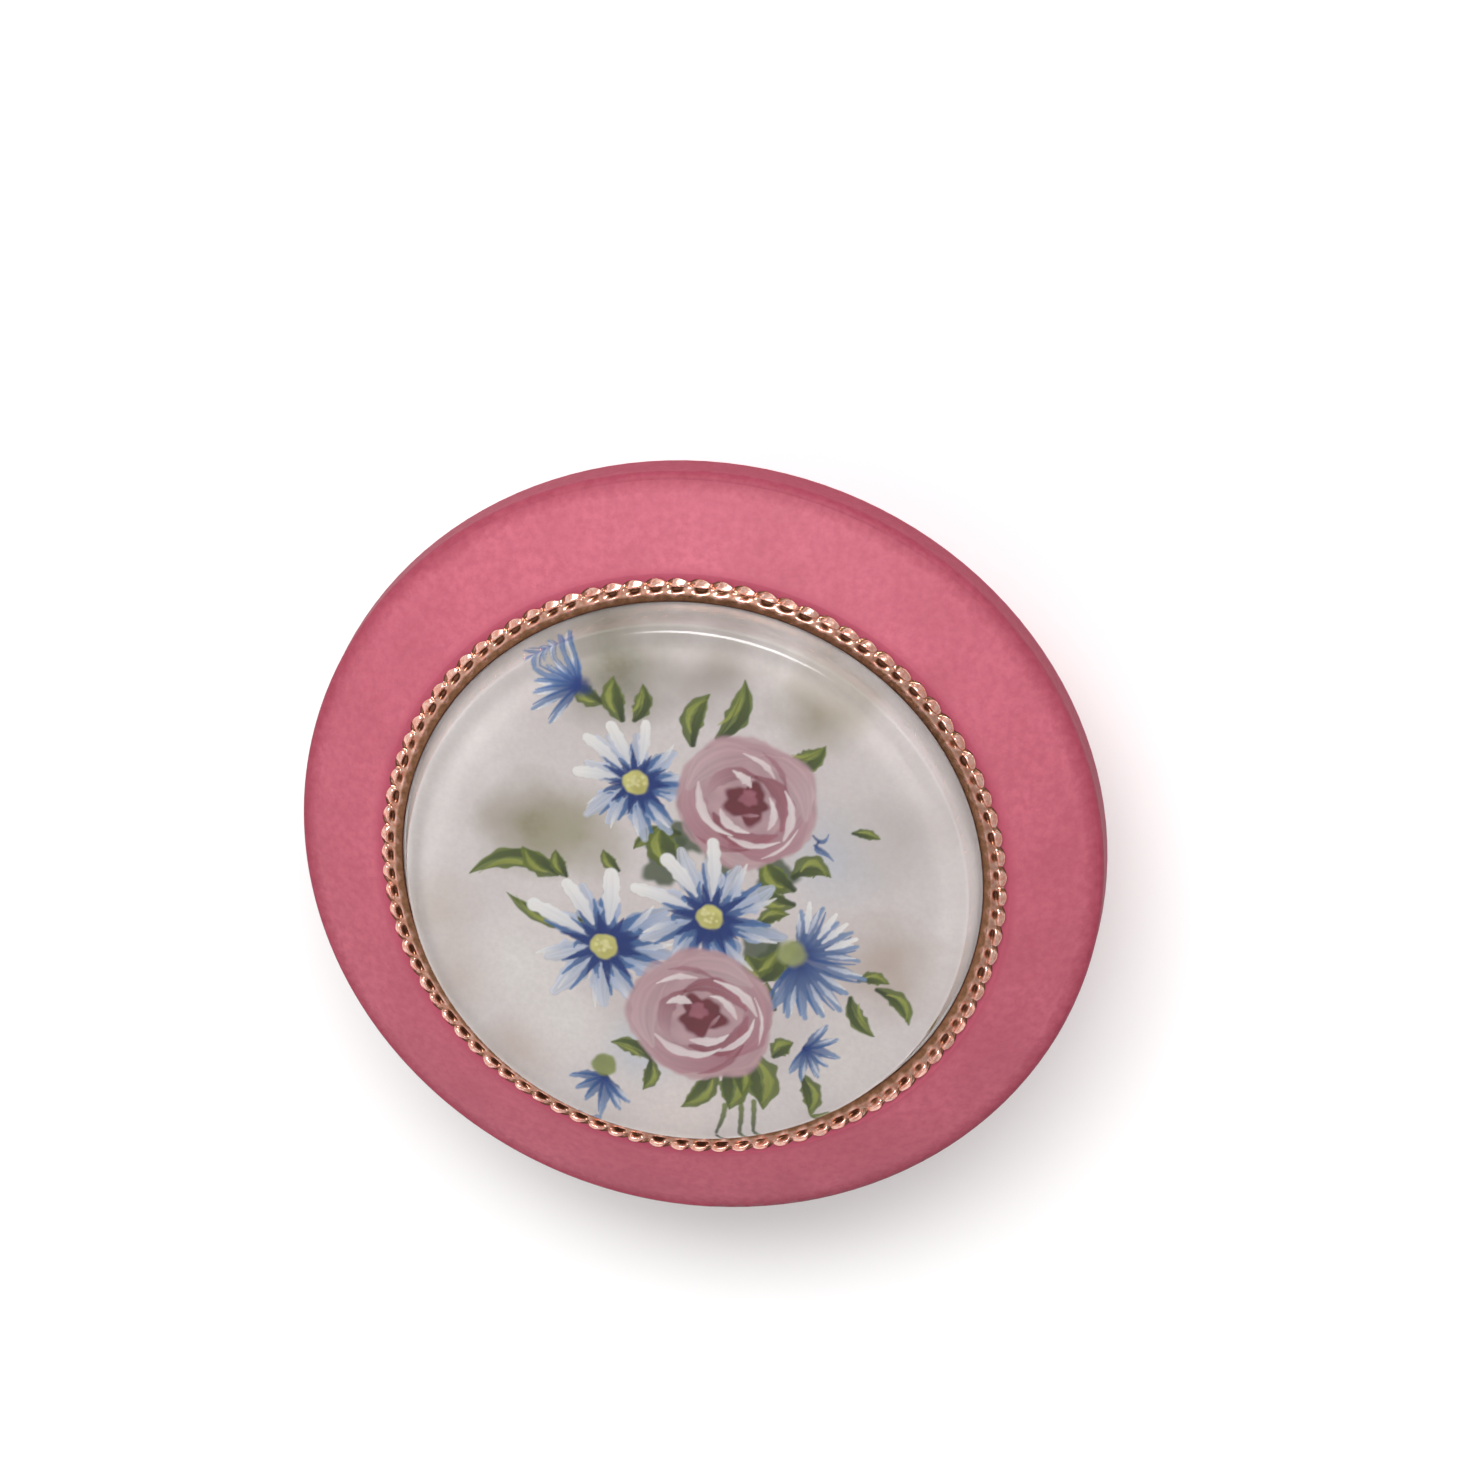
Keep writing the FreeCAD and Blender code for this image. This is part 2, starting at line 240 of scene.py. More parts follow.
def grained(depth, *lump):
    """Maker of a noisy relief, so many metres deep."""
    return lambda tree: bump(tree, noise(tree, *lump), depth)


def patchy(low, high, *lump):
    """Maker of a value that wanders between two others."""
    return lambda tree: fit(tree, noise(tree, *lump), 0.3, 0.7, low, high)


def finish_of(name, values, colour=None, normal=None, roughness=None):
    """A Principled material: constants on its own sockets, and maps for colour, normal and roughness."""
    material = bpy.data.materials.new(name)
    material.use_nodes = True
    tree = material.node_tree
    shader = tree.nodes["Principled BSDF"]
    for socket, value in values.items():
        shader.inputs[socket].default_value = value
    for socket, make in (("Base Color", colour), ("Normal", normal), ("Roughness", roughness)):
        if make:
            tree.links.new(make(tree), shader.inputs[socket])
    return material


def srgb(red, green, blue):
    """Linear colour of 8-bit display values."""
    shares = (c / 255 for c in (red, green, blue))
    return tuple(((c + 0.055) / 1.055) ** 2.4 if c > 0.04 else c / 12.92 for c in shares)


TRAPPED = 0.50          # share of the light from cemented paint that the dome reflects back onto it


def buried(red, green, blue):
    """Linear colour of paint that looks like these display values through the dome it is cemented to."""
    return tuple(c / (1 - TRAPPED + TRAPPED * c) for c in srgb(red, green, blue))


# ---------------------------------------------------------------- materials

def frosted_pink():
    """Rose plastic with a fine cloudy mottle and a blasted, matte skin, with painted shade: darker and deeper
    red at the rim, and a deeper band beside the bezel.
    """
    def colour(tree):
        cloud = noise(tree, 7 * MM, 3.0)
        speck = noise(tree, 0.8 * MM, 3.0, 0.6)
        base = blend(tree, fit(tree, cloud, 0.3, 0.7), srgb(174, 88, 104), srgb(187, 97, 114))
        base = blend(tree, fit(tree, speck, 0.35, 0.65, 0.0, 0.6), base, srgb(163, 76, 94))
        flat = vector_calc(tree, "MULTIPLY", here(tree), (1, 1, 0))["Vector"]
        away = vector_calc(tree, "LENGTH", flat)["Value"]
        away = calc(tree, "ADD", away, calc(tree, "MULTIPLY", speck, 0.8 * MM))
        # painted shade: darker, deeper red towards the rim
        rim_shade = fit(tree, away, 38.4 * MM, 40.4 * MM, 0.0, 0.9)
        base = blend(tree, rim_shade, base, srgb(136, 40, 62))
        # painted contact shade: a deeper magenta band on the lid's top just outside the bezel
        bezel_shade = fit(tree, away, 32.2 * MM, 31.2 * MM, 0.0, 0.5)
        level = add(tree, "SeparateXYZ", {0: here(tree)}).outputs["Z"]
        on_lid = fit(tree, level, LID_HIGH.z - 1.2 * MM, LID_HIGH.z - 0.8 * MM)
        return blend(tree, calc(tree, "MULTIPLY", bezel_shade, on_lid), base, srgb(150, 42, 72))

    values = {"Roughness": 0.62, "Specular IOR Level": 0.3, "Subsurface Weight": 0.15,
              "Subsurface Scale": 0.6 * MM, "Subsurface Radius": (1.0, 0.35, 0.4)}
    return finish_of("frosted pink", values, colour, grained(0.03 * MM, 0.35 * MM, 3.0, 0.7))


def rose_gold():
    """Plated strip with painted light: lips painted bright as a painted highlight, the bevel painted duller
    as a painted reflection, and painted dark brown shade in its hollows.
    """
    def colour(tree):
        # the depth attribute holds painted shade: low on the lips, middle on the bevel, high in hollows and
        # along edges
        depth = add(tree, "Attribute", attribute_name="depth").outputs["Fac"]
        worn = noise(tree, 0.45 * MM, 3.0)
        metal = blend(tree, fit(tree, worn, 0.35, 0.65), srgb(246, 168, 146), srgb(255, 212, 196))
        bevel = blend(tree, fit(tree, worn, 0.3, 0.7), srgb(122, 86, 58), srgb(160, 112, 84))
        # lit and shaded copies of one metal: painted highlight on the lips, painted reflection on the bevel
        metal = blend(tree, fit(tree, depth, 0.05, 0.4), metal, bevel)
        # painted shade: dark brown in the pits, notches, edges and the bevel's inner end
        return blend(tree, fit(tree, depth, 0.45, 0.9), metal, srgb(84, 42, 34))

    return finish_of("rose gold", {"Metallic": 0.85}, colour, grained(0.03 * MM, 0.3 * MM, 2.0),
                     patchy(0.10, 0.24, 0.4 * MM, 2.0))


def crystal_clear():
    """Clear, polished acrylic glass."""
    return finish_of("crystal", {"Base Color": (1, 1, 1, 1), "Transmission Weight": 1.0,
                                 "Roughness": 0.0, "IOR": 1.49})


WASHES_AND_PAINTED_LIGHT = (          # soft dabs on the ground: x, y and radius in mm, colour. Most are thin washes of paint; some are painted shade and a painted highlight
    (-6.2, 21.8, 7.5, buried(104, 100, 80)),
    (3.5, 22.6, 5.5, buried(146, 136, 128)),
    (-15.0, 5.2, 6.0, buried(122, 114, 86)),
    (-10.5, 4.2, 5.0, buried(140, 134, 108)),
    (19.0, -8.6, 6.0, buried(172, 152, 138)),
    (13.0, 18.0, 5.5, buried(142, 132, 112)),
    (-4.5, -19.0, 5.0, buried(190, 196, 206)),
    (14.0, 3.0, 6.0, buried(188, 192, 202)),
    # darker taupe patches inside the lower-left edge
    (-25.0, -4.0, 4.5, buried(200, 184, 174)),
    (-23.0, -11.5, 4.5, buried(198, 180, 170)),
    (-17.5, -18.8, 4.5, buried(200, 180, 170)),
    # painted highlight: a lighter pink patch at the bottom
    (-2.0, -26.0, 6.5, buried(236, 216, 208)),
    (-17.0, -10.0, 6.5, buried(238, 230, 224)),
    (-13.0, -16.0, 5.0, buried(236, 228, 222)),
    (15.0, -19.0, 6.0, buried(226, 216, 210)),
    # painted shade: a darker patch on the right
    (21.0, 6.0, 7.5, buried(186, 176, 172)),
)


def picture_material():
    """Pearly ground with thin washes, patches of painted shade and a painted highlight, and the bouquet's
    paint over it.
    """
    def colour(tree):
        clouds = fit(tree, noise(tree, 9 * MM, 3.0), 0.3, 0.7)
        ground = blend(tree, clouds, buried(206, 194, 191), buried(224, 213, 210))
        for x, y, radius, tint in WASHES_AND_PAINTED_LIGHT:
            middle = (x * MM, y * MM, RIM_Z + 6.6 * MM)
            away = vector_calc(tree, "DISTANCE", here(tree), middle)["Value"]
            away = calc(tree, "ADD", away, calc(tree, "MULTIPLY", noise(tree, 4 * MM, 3.0), 5 * MM))
            share = fit(tree, away, radius * MM + 3 * MM, 3 * MM, 0.0, 0.95)
            ground = blend(tree, share, ground, tint)
        pearl = noise(tree, 0.45 * MM, 2.0)
        ground = blend(tree, fit(tree, pearl, 0.3, 0.7, 0.0, 0.16), ground, buried(160, 150, 148))
        paint = add(tree, "Attribute", attribute_name="paint").outputs["Color"]
        cover = add(tree, "Attribute", attribute_name="cover").outputs["Fac"]
        return blend(tree, cover, ground, paint)

    return finish_of("picture", {"Roughness": 0.5, "Specular IOR Level": 0.2}, colour)


# ---------------------------------------------------------------- bezel

# All in mm.
ARCHES = 90
BEZEL_LIP_R = 28.5      # inner end of the bevel
BEZEL_CREST_R = 29.36   # top of the bevel
BEZEL_PIT_R = 29.76     # middle of the row of pits
BEZEL_CUP_R = 30.2      # where the outer lips begin
BEZEL_TIP_R = 30.8
BEVEL_FOOT = 0.40       # height of the bevel's inner end above the lid
CREST_DROP = 0.26       # how far the bevel's top lies below the highest lip
PIT_DEPTH = 0.50
LIP_SLOPE = 0.62        # fall of a lip's outer facet, per mm
LIP_DOME = 1.4          # how strongly a lip is domed along the strip
VALLEY_DEPTH = 0.22     # notch between two lips
LEAST_HEIGHT = 0.06     # of the strip over the lid
ARCH_LEAN = 0.22        # how far the arches lean sideways, in arches per mm outwards
STEPS_PER_ARCH = 24
STEPS_ACROSS = 26


def hump(x, centre, width):
    """Bell curve of height 1."""
    return math.exp(-((x - centre) / width) ** 2)


def bezel_height(radius, phase, seat, crest_z, unit):
    """Height of the strip in mm, and its tone of painted shade. Phase is 0 at a bridge, 0.5 in the middle of
    an arch.
    """
    deep, high, lean, twist = unit
    phase += ARCH_LEAN * (radius - BEZEL_PIT_R)
    middle = hump(phase, 0.5 + lean, 0.24)
    rise = min(1.0, max(0.0, (radius - BEZEL_LIP_R) / (BEZEL_CREST_R - BEZEL_LIP_R)))
    inner = seat + BEVEL_FOOT + (crest_z - CREST_DROP - seat - BEVEL_FOOT) * math.sin(rise * math.pi / 2)
    inner += 0.12 * middle * hump(radius, BEZEL_CREST_R, 0.16)
    inner -= 0.30 * max(0.0, radius - BEZEL_CREST_R)
    pit = hump(radius, BEZEL_PIT_R + 0.05 * twist, 0.22) * middle
    inner -= PIT_DEPTH * deep * pit
    shoulder = 1 / (1 + math.exp(-(radius - BEZEL_CUP_R + 0.18) / 0.045))
    top = crest_z + 0.10 * high - 0.1
    top -= LIP_SLOPE * (1.0 + 0.5 * high) * max(0.0, radius - BEZEL_CUP_R)
    top -= LIP_DOME * abs(phase - 0.5 - lean) ** 2 + 0.3 * twist * (phase - 0.5)
    valley = hump(phase, 0.0, 0.12) + hump(phase, 1.0, 0.12)
    top -= VALLEY_DEPTH * valley
    height = max(inner + (top - inner) * shoulder, seat + LEAST_HEIGHT)
    # painted reflection: the bevel gets a duller tone
    bevel = 0.4 * (1 - rise ** 3) + 0.25 * rise * (1 - middle) * (1 - shoulder)
    # painted shade in the pits and in the notches between lips
    tone = max(min(1.0, 1.7 * deep * pit * (1 - shoulder)), bevel, 0.4 * valley * shoulder)
    # painted shadow along the bevel's inner end, next to the crystal
    return height, min(1.0, tone + 0.6 * hump(rise, 0.0, 0.15))


def bezel_ring():
    """Gallery strip: a smooth inner bevel, and outside it a row of pierced cups with scalloped lips."""
    rng = np.random.default_rng(3)
    seat = LID_HIGH.z / MM
    crest_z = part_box("bezel_ring")[1].z / MM
    count = ARCHES * STEPS_PER_ARCH
    points, shade_tones = [], []
    for i, turn in enumerate(even_turns(count)):
        if i % STEPS_PER_ARCH == 0:
            unit = [rng.uniform(*span) for span in ((0.4, 1.15), (-0.2, 1.2), (-0.12, 0.12), (-1.3, 1.3))]
        phase = (i % STEPS_PER_ARCH) / STEPS_PER_ARCH
        tip_r = BEZEL_TIP_R - 0.38 * (1 - math.sin(math.pi * phase) ** 0.8)
        for j in range(STEPS_ACROSS + 1):
            radius = BEZEL_LIP_R + (tip_r - BEZEL_LIP_R) * j / STEPS_ACROSS
            height, painted_shade = bezel_height(radius, phase, seat, crest_z, unit)
            points.append(at(radius * MM, turn, height * MM))
            shade_tones.append(painted_shade)
        # the strip's outer edge and underside get painted shade
        for radius, lift in ((tip_r - 0.04, 0.12), (tip_r - 0.25, 0.02), (BEZEL_LIP_R, 0.3)):
            points.append(at(radius * MM, turn, (seat + lift) * MM))
            shade_tones.append(0.7)
    row = STEPS_ACROSS + 4
    faces = []
    for i in range(count):
        a, b = i * row, (i + 1) % count * row
        faces += [(a + (j + 1) % row, b + (j + 1) % row, b + j, a + j) for j in range(row)]
    piece = new_piece("bezel_strip", points, faces, rose_gold(), "lid", ["bezel_ring"])
    # the depth attribute carries the painted shade tones
    attribute = piece.data.attributes.new("depth", "FLOAT", "POINT")
    attribute.data.foreach_set("value", shade_tones)


# ---------------------------------------------------------------- crystal

def crystal():
    """Thick clear dome. Clear cement fills the gap to the picture, so its mesh reaches down to the paint."""
    low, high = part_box("crystal")
    base, top = low.z / MM, high.z / MM
    picture_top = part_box("picture_disc")[1].z / MM
    edge = (26.5, top - 0.65)
    profile = outline(
        (0.0, picture_top - 0.01),
        ((28.5, picture_top - 0.01), 6), ((28.5, base), 1),
        ((29.1, base), 1), ((29.1, base + 0.6), 2), ((28.42, base + 0.6), 2),
        ((27.5, base + 3.6), 8), (edge, 12, 0.15), crown(edge, top, 40),
    )
    points, faces = revolve([(r * MM, z * MM) for r, z in profile], 360)
    new_piece("crystal_dome", points, faces, crystal_clear(), "lid", ["crystal"])


# ---------------------------------------------------------------- painted bouquet

class Canvas:
    """Thin sheet of paint on a fine grid, in mm. Strokes are laid one over another."""

    def __init__(self, half, step):
        self.count = int(half / step)
        self.step = step
        line = np.arange(-self.count, self.count + 1) * step
        self.x, self.y = np.meshgrid(line, line)
        self.colour = np.zeros(self.x.shape + (3,))
        self.cover = np.zeros(self.x.shape)
        self.relief = np.zeros(self.x.shape)

    def window(self, points, margin):
        """Rows and columns of the grid round some points."""
        low = np.floor((points.min(0) - margin) / self.step).astype(int) + self.count
        high = np.ceil((points.max(0) + margin) / self.step).astype(int) + self.count + 1
        low, high = np.maximum(low, 0), np.minimum(high, 2 * self.count + 1)
        return slice(low[1], high[1]), slice(low[0], high[0])

    def lay(self, window, colour, cover, relief=0.0):
        """Paint over what is there."""
        under = self.cover[window] * (1 - cover)
        total = np.maximum(cover + under, 1e-6)
        both = colour * cover[..., None] + self.colour[window] * under[..., None]
        self.colour[window] = both / total[..., None]
        self.cover[window] = cover + under
        self.relief[window] = np.maximum(self.relief[window], relief * cover)


def smooth_line(points, count=20):
    """Even points of a smooth line through a few given ones."""
    points = np.array(points, float)
    if len(points) == 2:
        share = np.linspace(0, 1, count)[:, None]
        return points[0] * (1 - share) + points[1] * share
    spans = np.hypot(*np.diff(points, axis=0).T)
    along = np.concatenate([[0], np.cumsum(spans)]) / spans.sum()
    share = np.linspace(0, 1, count)
    if len(points) == 3:
        late, early = along[1], 1 - along[1]
        middle = (points[1] - early ** 2 * points[0] - late ** 2 * points[2]) / (2 * late * early)
        s = share[:, None]
        return (1 - s) ** 2 * points[0] + 2 * s * (1 - s) * middle + s ** 2 * points[2]
    fine = np.stack([np.interp(share, along, points[:, k]) for k in (0, 1)], 1)
    for _ in range(6):
        fine[1:-1] = (fine[:-2] + 2 * fine[1:-1] + fine[2:]) / 4
    return fine


def stroke(canvas, rng, points, width, colours, taper=(0.35, 1.0, 0.25), cover=0.95, streak=0.10,
           soft=0.09, dry=0.0):
    """One brush stroke: it runs from the first colour to the second, with bristle streaks along it."""
    line = smooth_line(points)
    window = canvas.window(line, width)
    x, y = canvas.x[window], canvas.y[window]
    best = np.full(x.shape, 1e9)
    along = np.zeros(x.shape)
    side = np.zeros(x.shape)
    spans = len(line) - 1
    for k in range(spans):
        (ax, ay), (bx, by) = line[k], line[k + 1]
        dx, dy = bx - ax, by - ay
        length = max(math.hypot(dx, dy), 1e-9)
        t = np.clip(((x - ax) * dx + (y - ay) * dy) / length ** 2, 0, 1)
        away = np.hypot(x - ax - t * dx, y - ay - t * dy)
        nearer = away < best
        best[nearer] = away[nearer]
        along[nearer] = ((k + t) / spans)[nearer]
        side[nearer] = np.sign((x - ax) * dy - (y - ay) * dx)[nearer]
    half = width / 2 * np.interp(along, np.linspace(0, 1, len(taper)), taper)
    u = side * best / np.maximum(half, 1e-3)
    soft = np.minimum(0.9, soft / np.maximum(half, 1e-3))
    waves = ((0.08, 18), (0.06, 31))
    wobble = sum(size * np.sin(f * along + rng.uniform(0, 6.3)) for size, f in waves)
    edge = np.clip((1 + wobble + soft - np.abs(u)) / (2 * soft), 0, 1)
    edge = edge * edge * (3 - 2 * edge)
    hairs = sum(np.sin(f * u + rng.uniform(0, 6.3) + rng.uniform(-2, 2) * along) for f in (5, 9, 15)) / 3
    opacity = cover * edge
    if dry:
        gaps = np.clip((hairs + 1.1 - dry * along * 2) * 2, 0, 1)
        opacity = opacity * (1 - dry + dry * gaps)
    first, last = np.array(buried(*colours[0])), np.array(buried(*colours[1]))
    tone = first + (last - first) * along[..., None]
    tone = np.clip(tone * (1 + streak * (hairs + 0.6 * u))[..., None], 0, 1)
    canvas.lay(window, tone, opacity, 1.0 + 0.3 * streak * hairs.max() if hairs.size else 1.0)


def dab(canvas, rng, centre, radius, colour, cover=0.9, soft=0.12, uneven=0.12):
    """A rounded, slightly lumpy patch of paint, its edge soft over so many mm."""
    centre = np.array([centre], float)
    soft = min(0.9, soft / radius)
    window = canvas.window(centre, radius * (1.4 + soft))
    x, y = canvas.x[window] - centre[0, 0], canvas.y[window] - centre[0, 1]
    angle = np.arctan2(y, x)
    waves = sum(size * np.sin(f * angle + rng.uniform(0, 6.3)) for f, size in ((3, 1), (5, 1), (9, 0.5)))
    edge_r = radius * (1 + uneven * waves / 2)
    q = np.hypot(x, y) / edge_r
    share = np.clip((1 + soft - q) / (2 * soft), 0, 1)
    share = share * share * (3 - 2 * share)
    mottle = 0.05 * (np.sin(x * 2.3 + rng.uniform(0, 6)) + np.sin(y * 2.9 + x + rng.uniform(0, 6)))
    tone = np.clip(np.array(buried(*colour)) * (1 + mottle)[..., None], 0, 1)
    canvas.lay(window, tone, cover * share, 0.6)


def polar(centre, radius, degrees):
    """A point at a distance and direction from a centre, anticlockwise from the right."""
    return (centre[0] + radius * math.cos(math.radians(degrees)),
            centre[1] + radius * math.sin(math.radians(degrees)))


def trail(centre, *steps):
    """Points at these distances and directions from a centre."""
    return [polar(centre, radius, degrees) for radius, degrees in steps]


def sweep(centre, radius, turn, span, shake=lambda: 0.0):
    """Five points round a centre. Span is a radius share from and to, and degrees from and to."""
    first, last, start, end = span
    return [polar(centre, radius * (first + (last - first) * k / 4 + shake()),
                  turn + start + (end - start) * k / 4) for k in range(5)]


def apart(first, second):
    """Angle between two directions, in degrees."""
    return abs((first - second + 180) % 360 - 180)


WHITE = (255, 252, 246)
ICE = (204, 208, 218)
PALE_BLUE = (142, 158, 190)
MID_BLUE = (56, 94, 152)
DEEP_BLUE = (8, 34, 92)
YELLOW = (190, 184, 98)
SHADED_YELLOW = (158, 150, 72)
POLLEN = (222, 216, 140)
OLIVE = (86, 98, 34)
DARK_GREEN = (34, 44, 24)
LIGHT_GREEN = (142, 148, 62)
SHADE = (52, 64, 42)
CALYX = (132, 140, 84)
MAUVE = (166, 126, 132)
DUSTY = (182, 150, 154)
ROSE = (138, 76, 88)
PLUM = (106, 42, 54)
WINE = (84, 22, 32)
BLUSH = (248, 230, 230)


def mixed(first, last, share):
    """Display colour part of the way from one to another."""
    return tuple(a + (b - a) * share for a, b in zip(first, last))


def aster(canvas, rng, centre, radius, petals, white_at, white_span, blue_at, turn, eye):
    """Blue and white daisy: deep blue between the petals, white ones towards one side."""
    turns = [turn + 360.0 * i / petals + rng.uniform(-6, 6) for i in range(petals)]
    for angle in turns:
        reach = radius * rng.uniform(0.80, 1.05)
        off = apart(angle, blue_at) / 180
        bend = rng.uniform(-8, 8)
        path = trail(centre, (radius * 0.2, angle), (reach * 0.62, angle + bend), (reach, angle + bend * 1.5))
        tones = mixed(MID_BLUE, PALE_BLUE, min(1, off * 1.4)), mixed(PALE_BLUE, ICE, off)
        stroke(canvas, rng, path, radius * 0.36, tones, (0.35, 1.0, 0.35), 0.9, 0.16, dry=0.2)
        for side, share in ((11, rng.uniform(0.7, 0.94)), (-10, rng.uniform(0.4, 0.8))):
            path = trail(centre, (radius * 0.14, angle + side), (reach * 0.5, angle + side + bend),
                         (reach * share, angle + side * 0.8 + bend * 1.4))
            stroke(canvas, rng, path, radius * (0.08 + 0.09 * (1 - off)), (DEEP_BLUE, MID_BLUE),
                   (1.0, 0.9, 0.3), 0.9, 0.15)
    dab(canvas, rng, polar(centre, radius * 0.12, blue_at), radius * 0.27, DEEP_BLUE, 0.85, 0.4, 0.3)
    for angle in turns:
        path = trail(centre, (radius * 0.2, angle + 14), (radius * rng.uniform(0.45, 0.62), angle + 16))
        stroke(canvas, rng, path, radius * 0.13, (DEEP_BLUE, DEEP_BLUE), (1.0, 0.7, 0.1), 0.85)
        if apart(angle, white_at) > white_span:
            path = trail(centre, (radius * 0.45, angle - 4), (radius * 0.7, angle - 1),
                         (radius * 0.96, angle + 2))
            width = radius * rng.uniform(0.05, 0.12)
            stroke(canvas, rng, path, width, (PALE_BLUE, WHITE), (0.3, 1.0, 0.2), 0.85)
            continue
        reach = radius * rng.uniform(0.92, 1.1)
        path = trail(centre, (radius * 0.36, angle - 3), (reach * 0.74, angle), (reach, angle + 2))
        stroke(canvas, rng, path, radius * rng.uniform(0.2, 0.28), (ICE, WHITE), (0.2, 0.9, 0.8), 0.98, 0.05)
    dab(canvas, rng, centre, eye, YELLOW, 1.0, 0.15, 0.06)
    dab(canvas, rng, polar(centre, 0.4 * eye, -50), eye * 0.6, SHADED_YELLOW, 0.6, 0.4, 0.1)
    for _ in range(14):
        spot = polar(centre, eye * rng.uniform(0.1, 0.75), rng.uniform(0, 360))
        dab(canvas, rng, spot, eye * rng.uniform(0.10, 0.18), POLLEN, 0.7, 0.15, 0.1)


ROSE_PETALS = (     # radius share from and to, degrees from and to, width share, tones, cover
    (0.84, 0.66, 140, 250, 0.42, MAUVE, ROSE, 0.75),
    (0.70, 0.86, 240, 345, 0.40, ROSE, MAUVE, 0.75),
    (0.84, 0.68, -25, 75, 0.40, DUSTY, MAUVE, 0.8),
    (0.72, 0.84, 65, 155, 0.42, MAUVE, DUSTY, 0.8),
    (0.50, 0.62, 190, 300, 0.26, PLUM, ROSE, 0.8),
    (0.62, 0.42, -50, 60, 0.26, ROSE, PLUM, 0.8),
    (0.42, 0.58, 60, 160, 0.22, PLUM, MAUVE, 0.8),
    (0.90, 0.70, 205, 262, 0.08, ROSE, PLUM, 0.7),
    (0.60, 0.80, 12, 62, 0.08, PLUM, ROSE, 0.6),
)
ROSE_EDGES = (      # pale turned-over edges: radius share from and to, degrees from and to, width share
    (0.72, 0.56, 146, 236, 0.14),
    (0.58, 0.72, 232, 298, 0.10),
    (0.86, 0.80, 272, 322, 0.05),
    (0.74, 0.56, -58, 10, 0.13),
    (0.56, 0.74, 34, 82, 0.09),
    (0.40, 0.44, 186, 262, 0.14),
    (0.48, 0.34, 296, 366, 0.11),
    (0.24, 0.50, 66, 100, 0.14),
)


def rose(canvas, rng, centre, radius, turn):
    """Full rose: dusty outer petals, a wine-coloured heart, and pale turned-over edges."""
    dab(canvas, rng, centre, radius * 0.98, MAUVE, 0.95, 0.3, 0.07)
    for degrees in range(20, 380, 60):
        path = [polar(centre, radius * 0.84, turn + degrees + step) for step in (-30, -10, 12, 32)]
        tone = mixed(MAUVE, DUSTY, rng.uniform(0, 1))
        stroke(canvas, rng, path, radius * 0.36, (tone, MAUVE), (0.3, 1.0, 0.9, 0.3), 0.7, 0.1, 0.2, 0.2)
    for *span, width, first, last, cover in ROSE_PETALS:
        path = sweep(centre, radius, turn, span)
        stroke(canvas, rng, path, radius * width, (first, last), (0.2, 1.0, 0.9, 0.2), cover,
               0.14, 0.12, 0.25)
    dab(canvas, rng, centre, radius * 0.30, WINE, 0.95, 0.3, 0.25)
    for *span, width in ROSE_EDGES:
        path = sweep(centre, radius, turn, span, lambda: rng.uniform(-0.015, 0.015))
        tones = mixed(MAUVE, BLUSH, 0.7), BLUSH
        stroke(canvas, rng, path, radius * width, tones, (0.2, 1.0, 0.7, 0.15), 0.92, 0.06)
    dab(canvas, rng, polar(centre, radius * 0.08, turn + 60), radius * 0.12, ROSE, 0.9, 0.2, 0.2)
    path = trail(centre, (radius * 0.2, turn + 240), (radius * 0.24, turn + 300))
    stroke(canvas, rng, path, radius * 0.06, (ROSE, MAUVE), (0.4, 1.0, 0.4), 0.8)


def leaf(canvas, rng, base, tip, bend, width):
    """Leaf in four strokes: body, dark side, light side and midrib."""
    base, tip = np.array(base, float), np.array(tip, float)
    run = tip - base
    middle = (base + tip) / 2 + np.array([-run[1], run[0]]) * bend
    shift = np.array([run[1], -run[0]]) / np.hypot(*run) * width * 0.22
    shaded, lit = mixed(OLIVE, DARK_GREEN, 0.5), mixed(LIGHT_GREEN, OLIVE, 0.5)
    stroke(canvas, rng, [base, middle, tip], width, (mixed(OLIVE, DARK_GREEN, 0.3), OLIVE),
           (0.25, 1.0, 0.95, 0.05), 0.95, 0.18)
    stroke(canvas, rng, [base + shift * 0.3, middle + shift, tip], width * 0.42, (DARK_GREEN, shaded),
           (0.5, 1.0, 0.1), 0.85)
    stroke(canvas, rng, [base * 0.8 + tip * 0.2 - shift, middle - shift * 0.9, tip * 0.9 + base * 0.1],
           width * 0.3, (LIGHT_GREEN, lit), (0.2, 1.0, 0.1), 0.8, dry=0.3)
    stroke(canvas, rng, [base, middle * 0.5 + (base + tip) * 0.25, tip], 0.14, (DARK_GREEN, OLIVE),
           (1, 1, 0.3), 0.7)


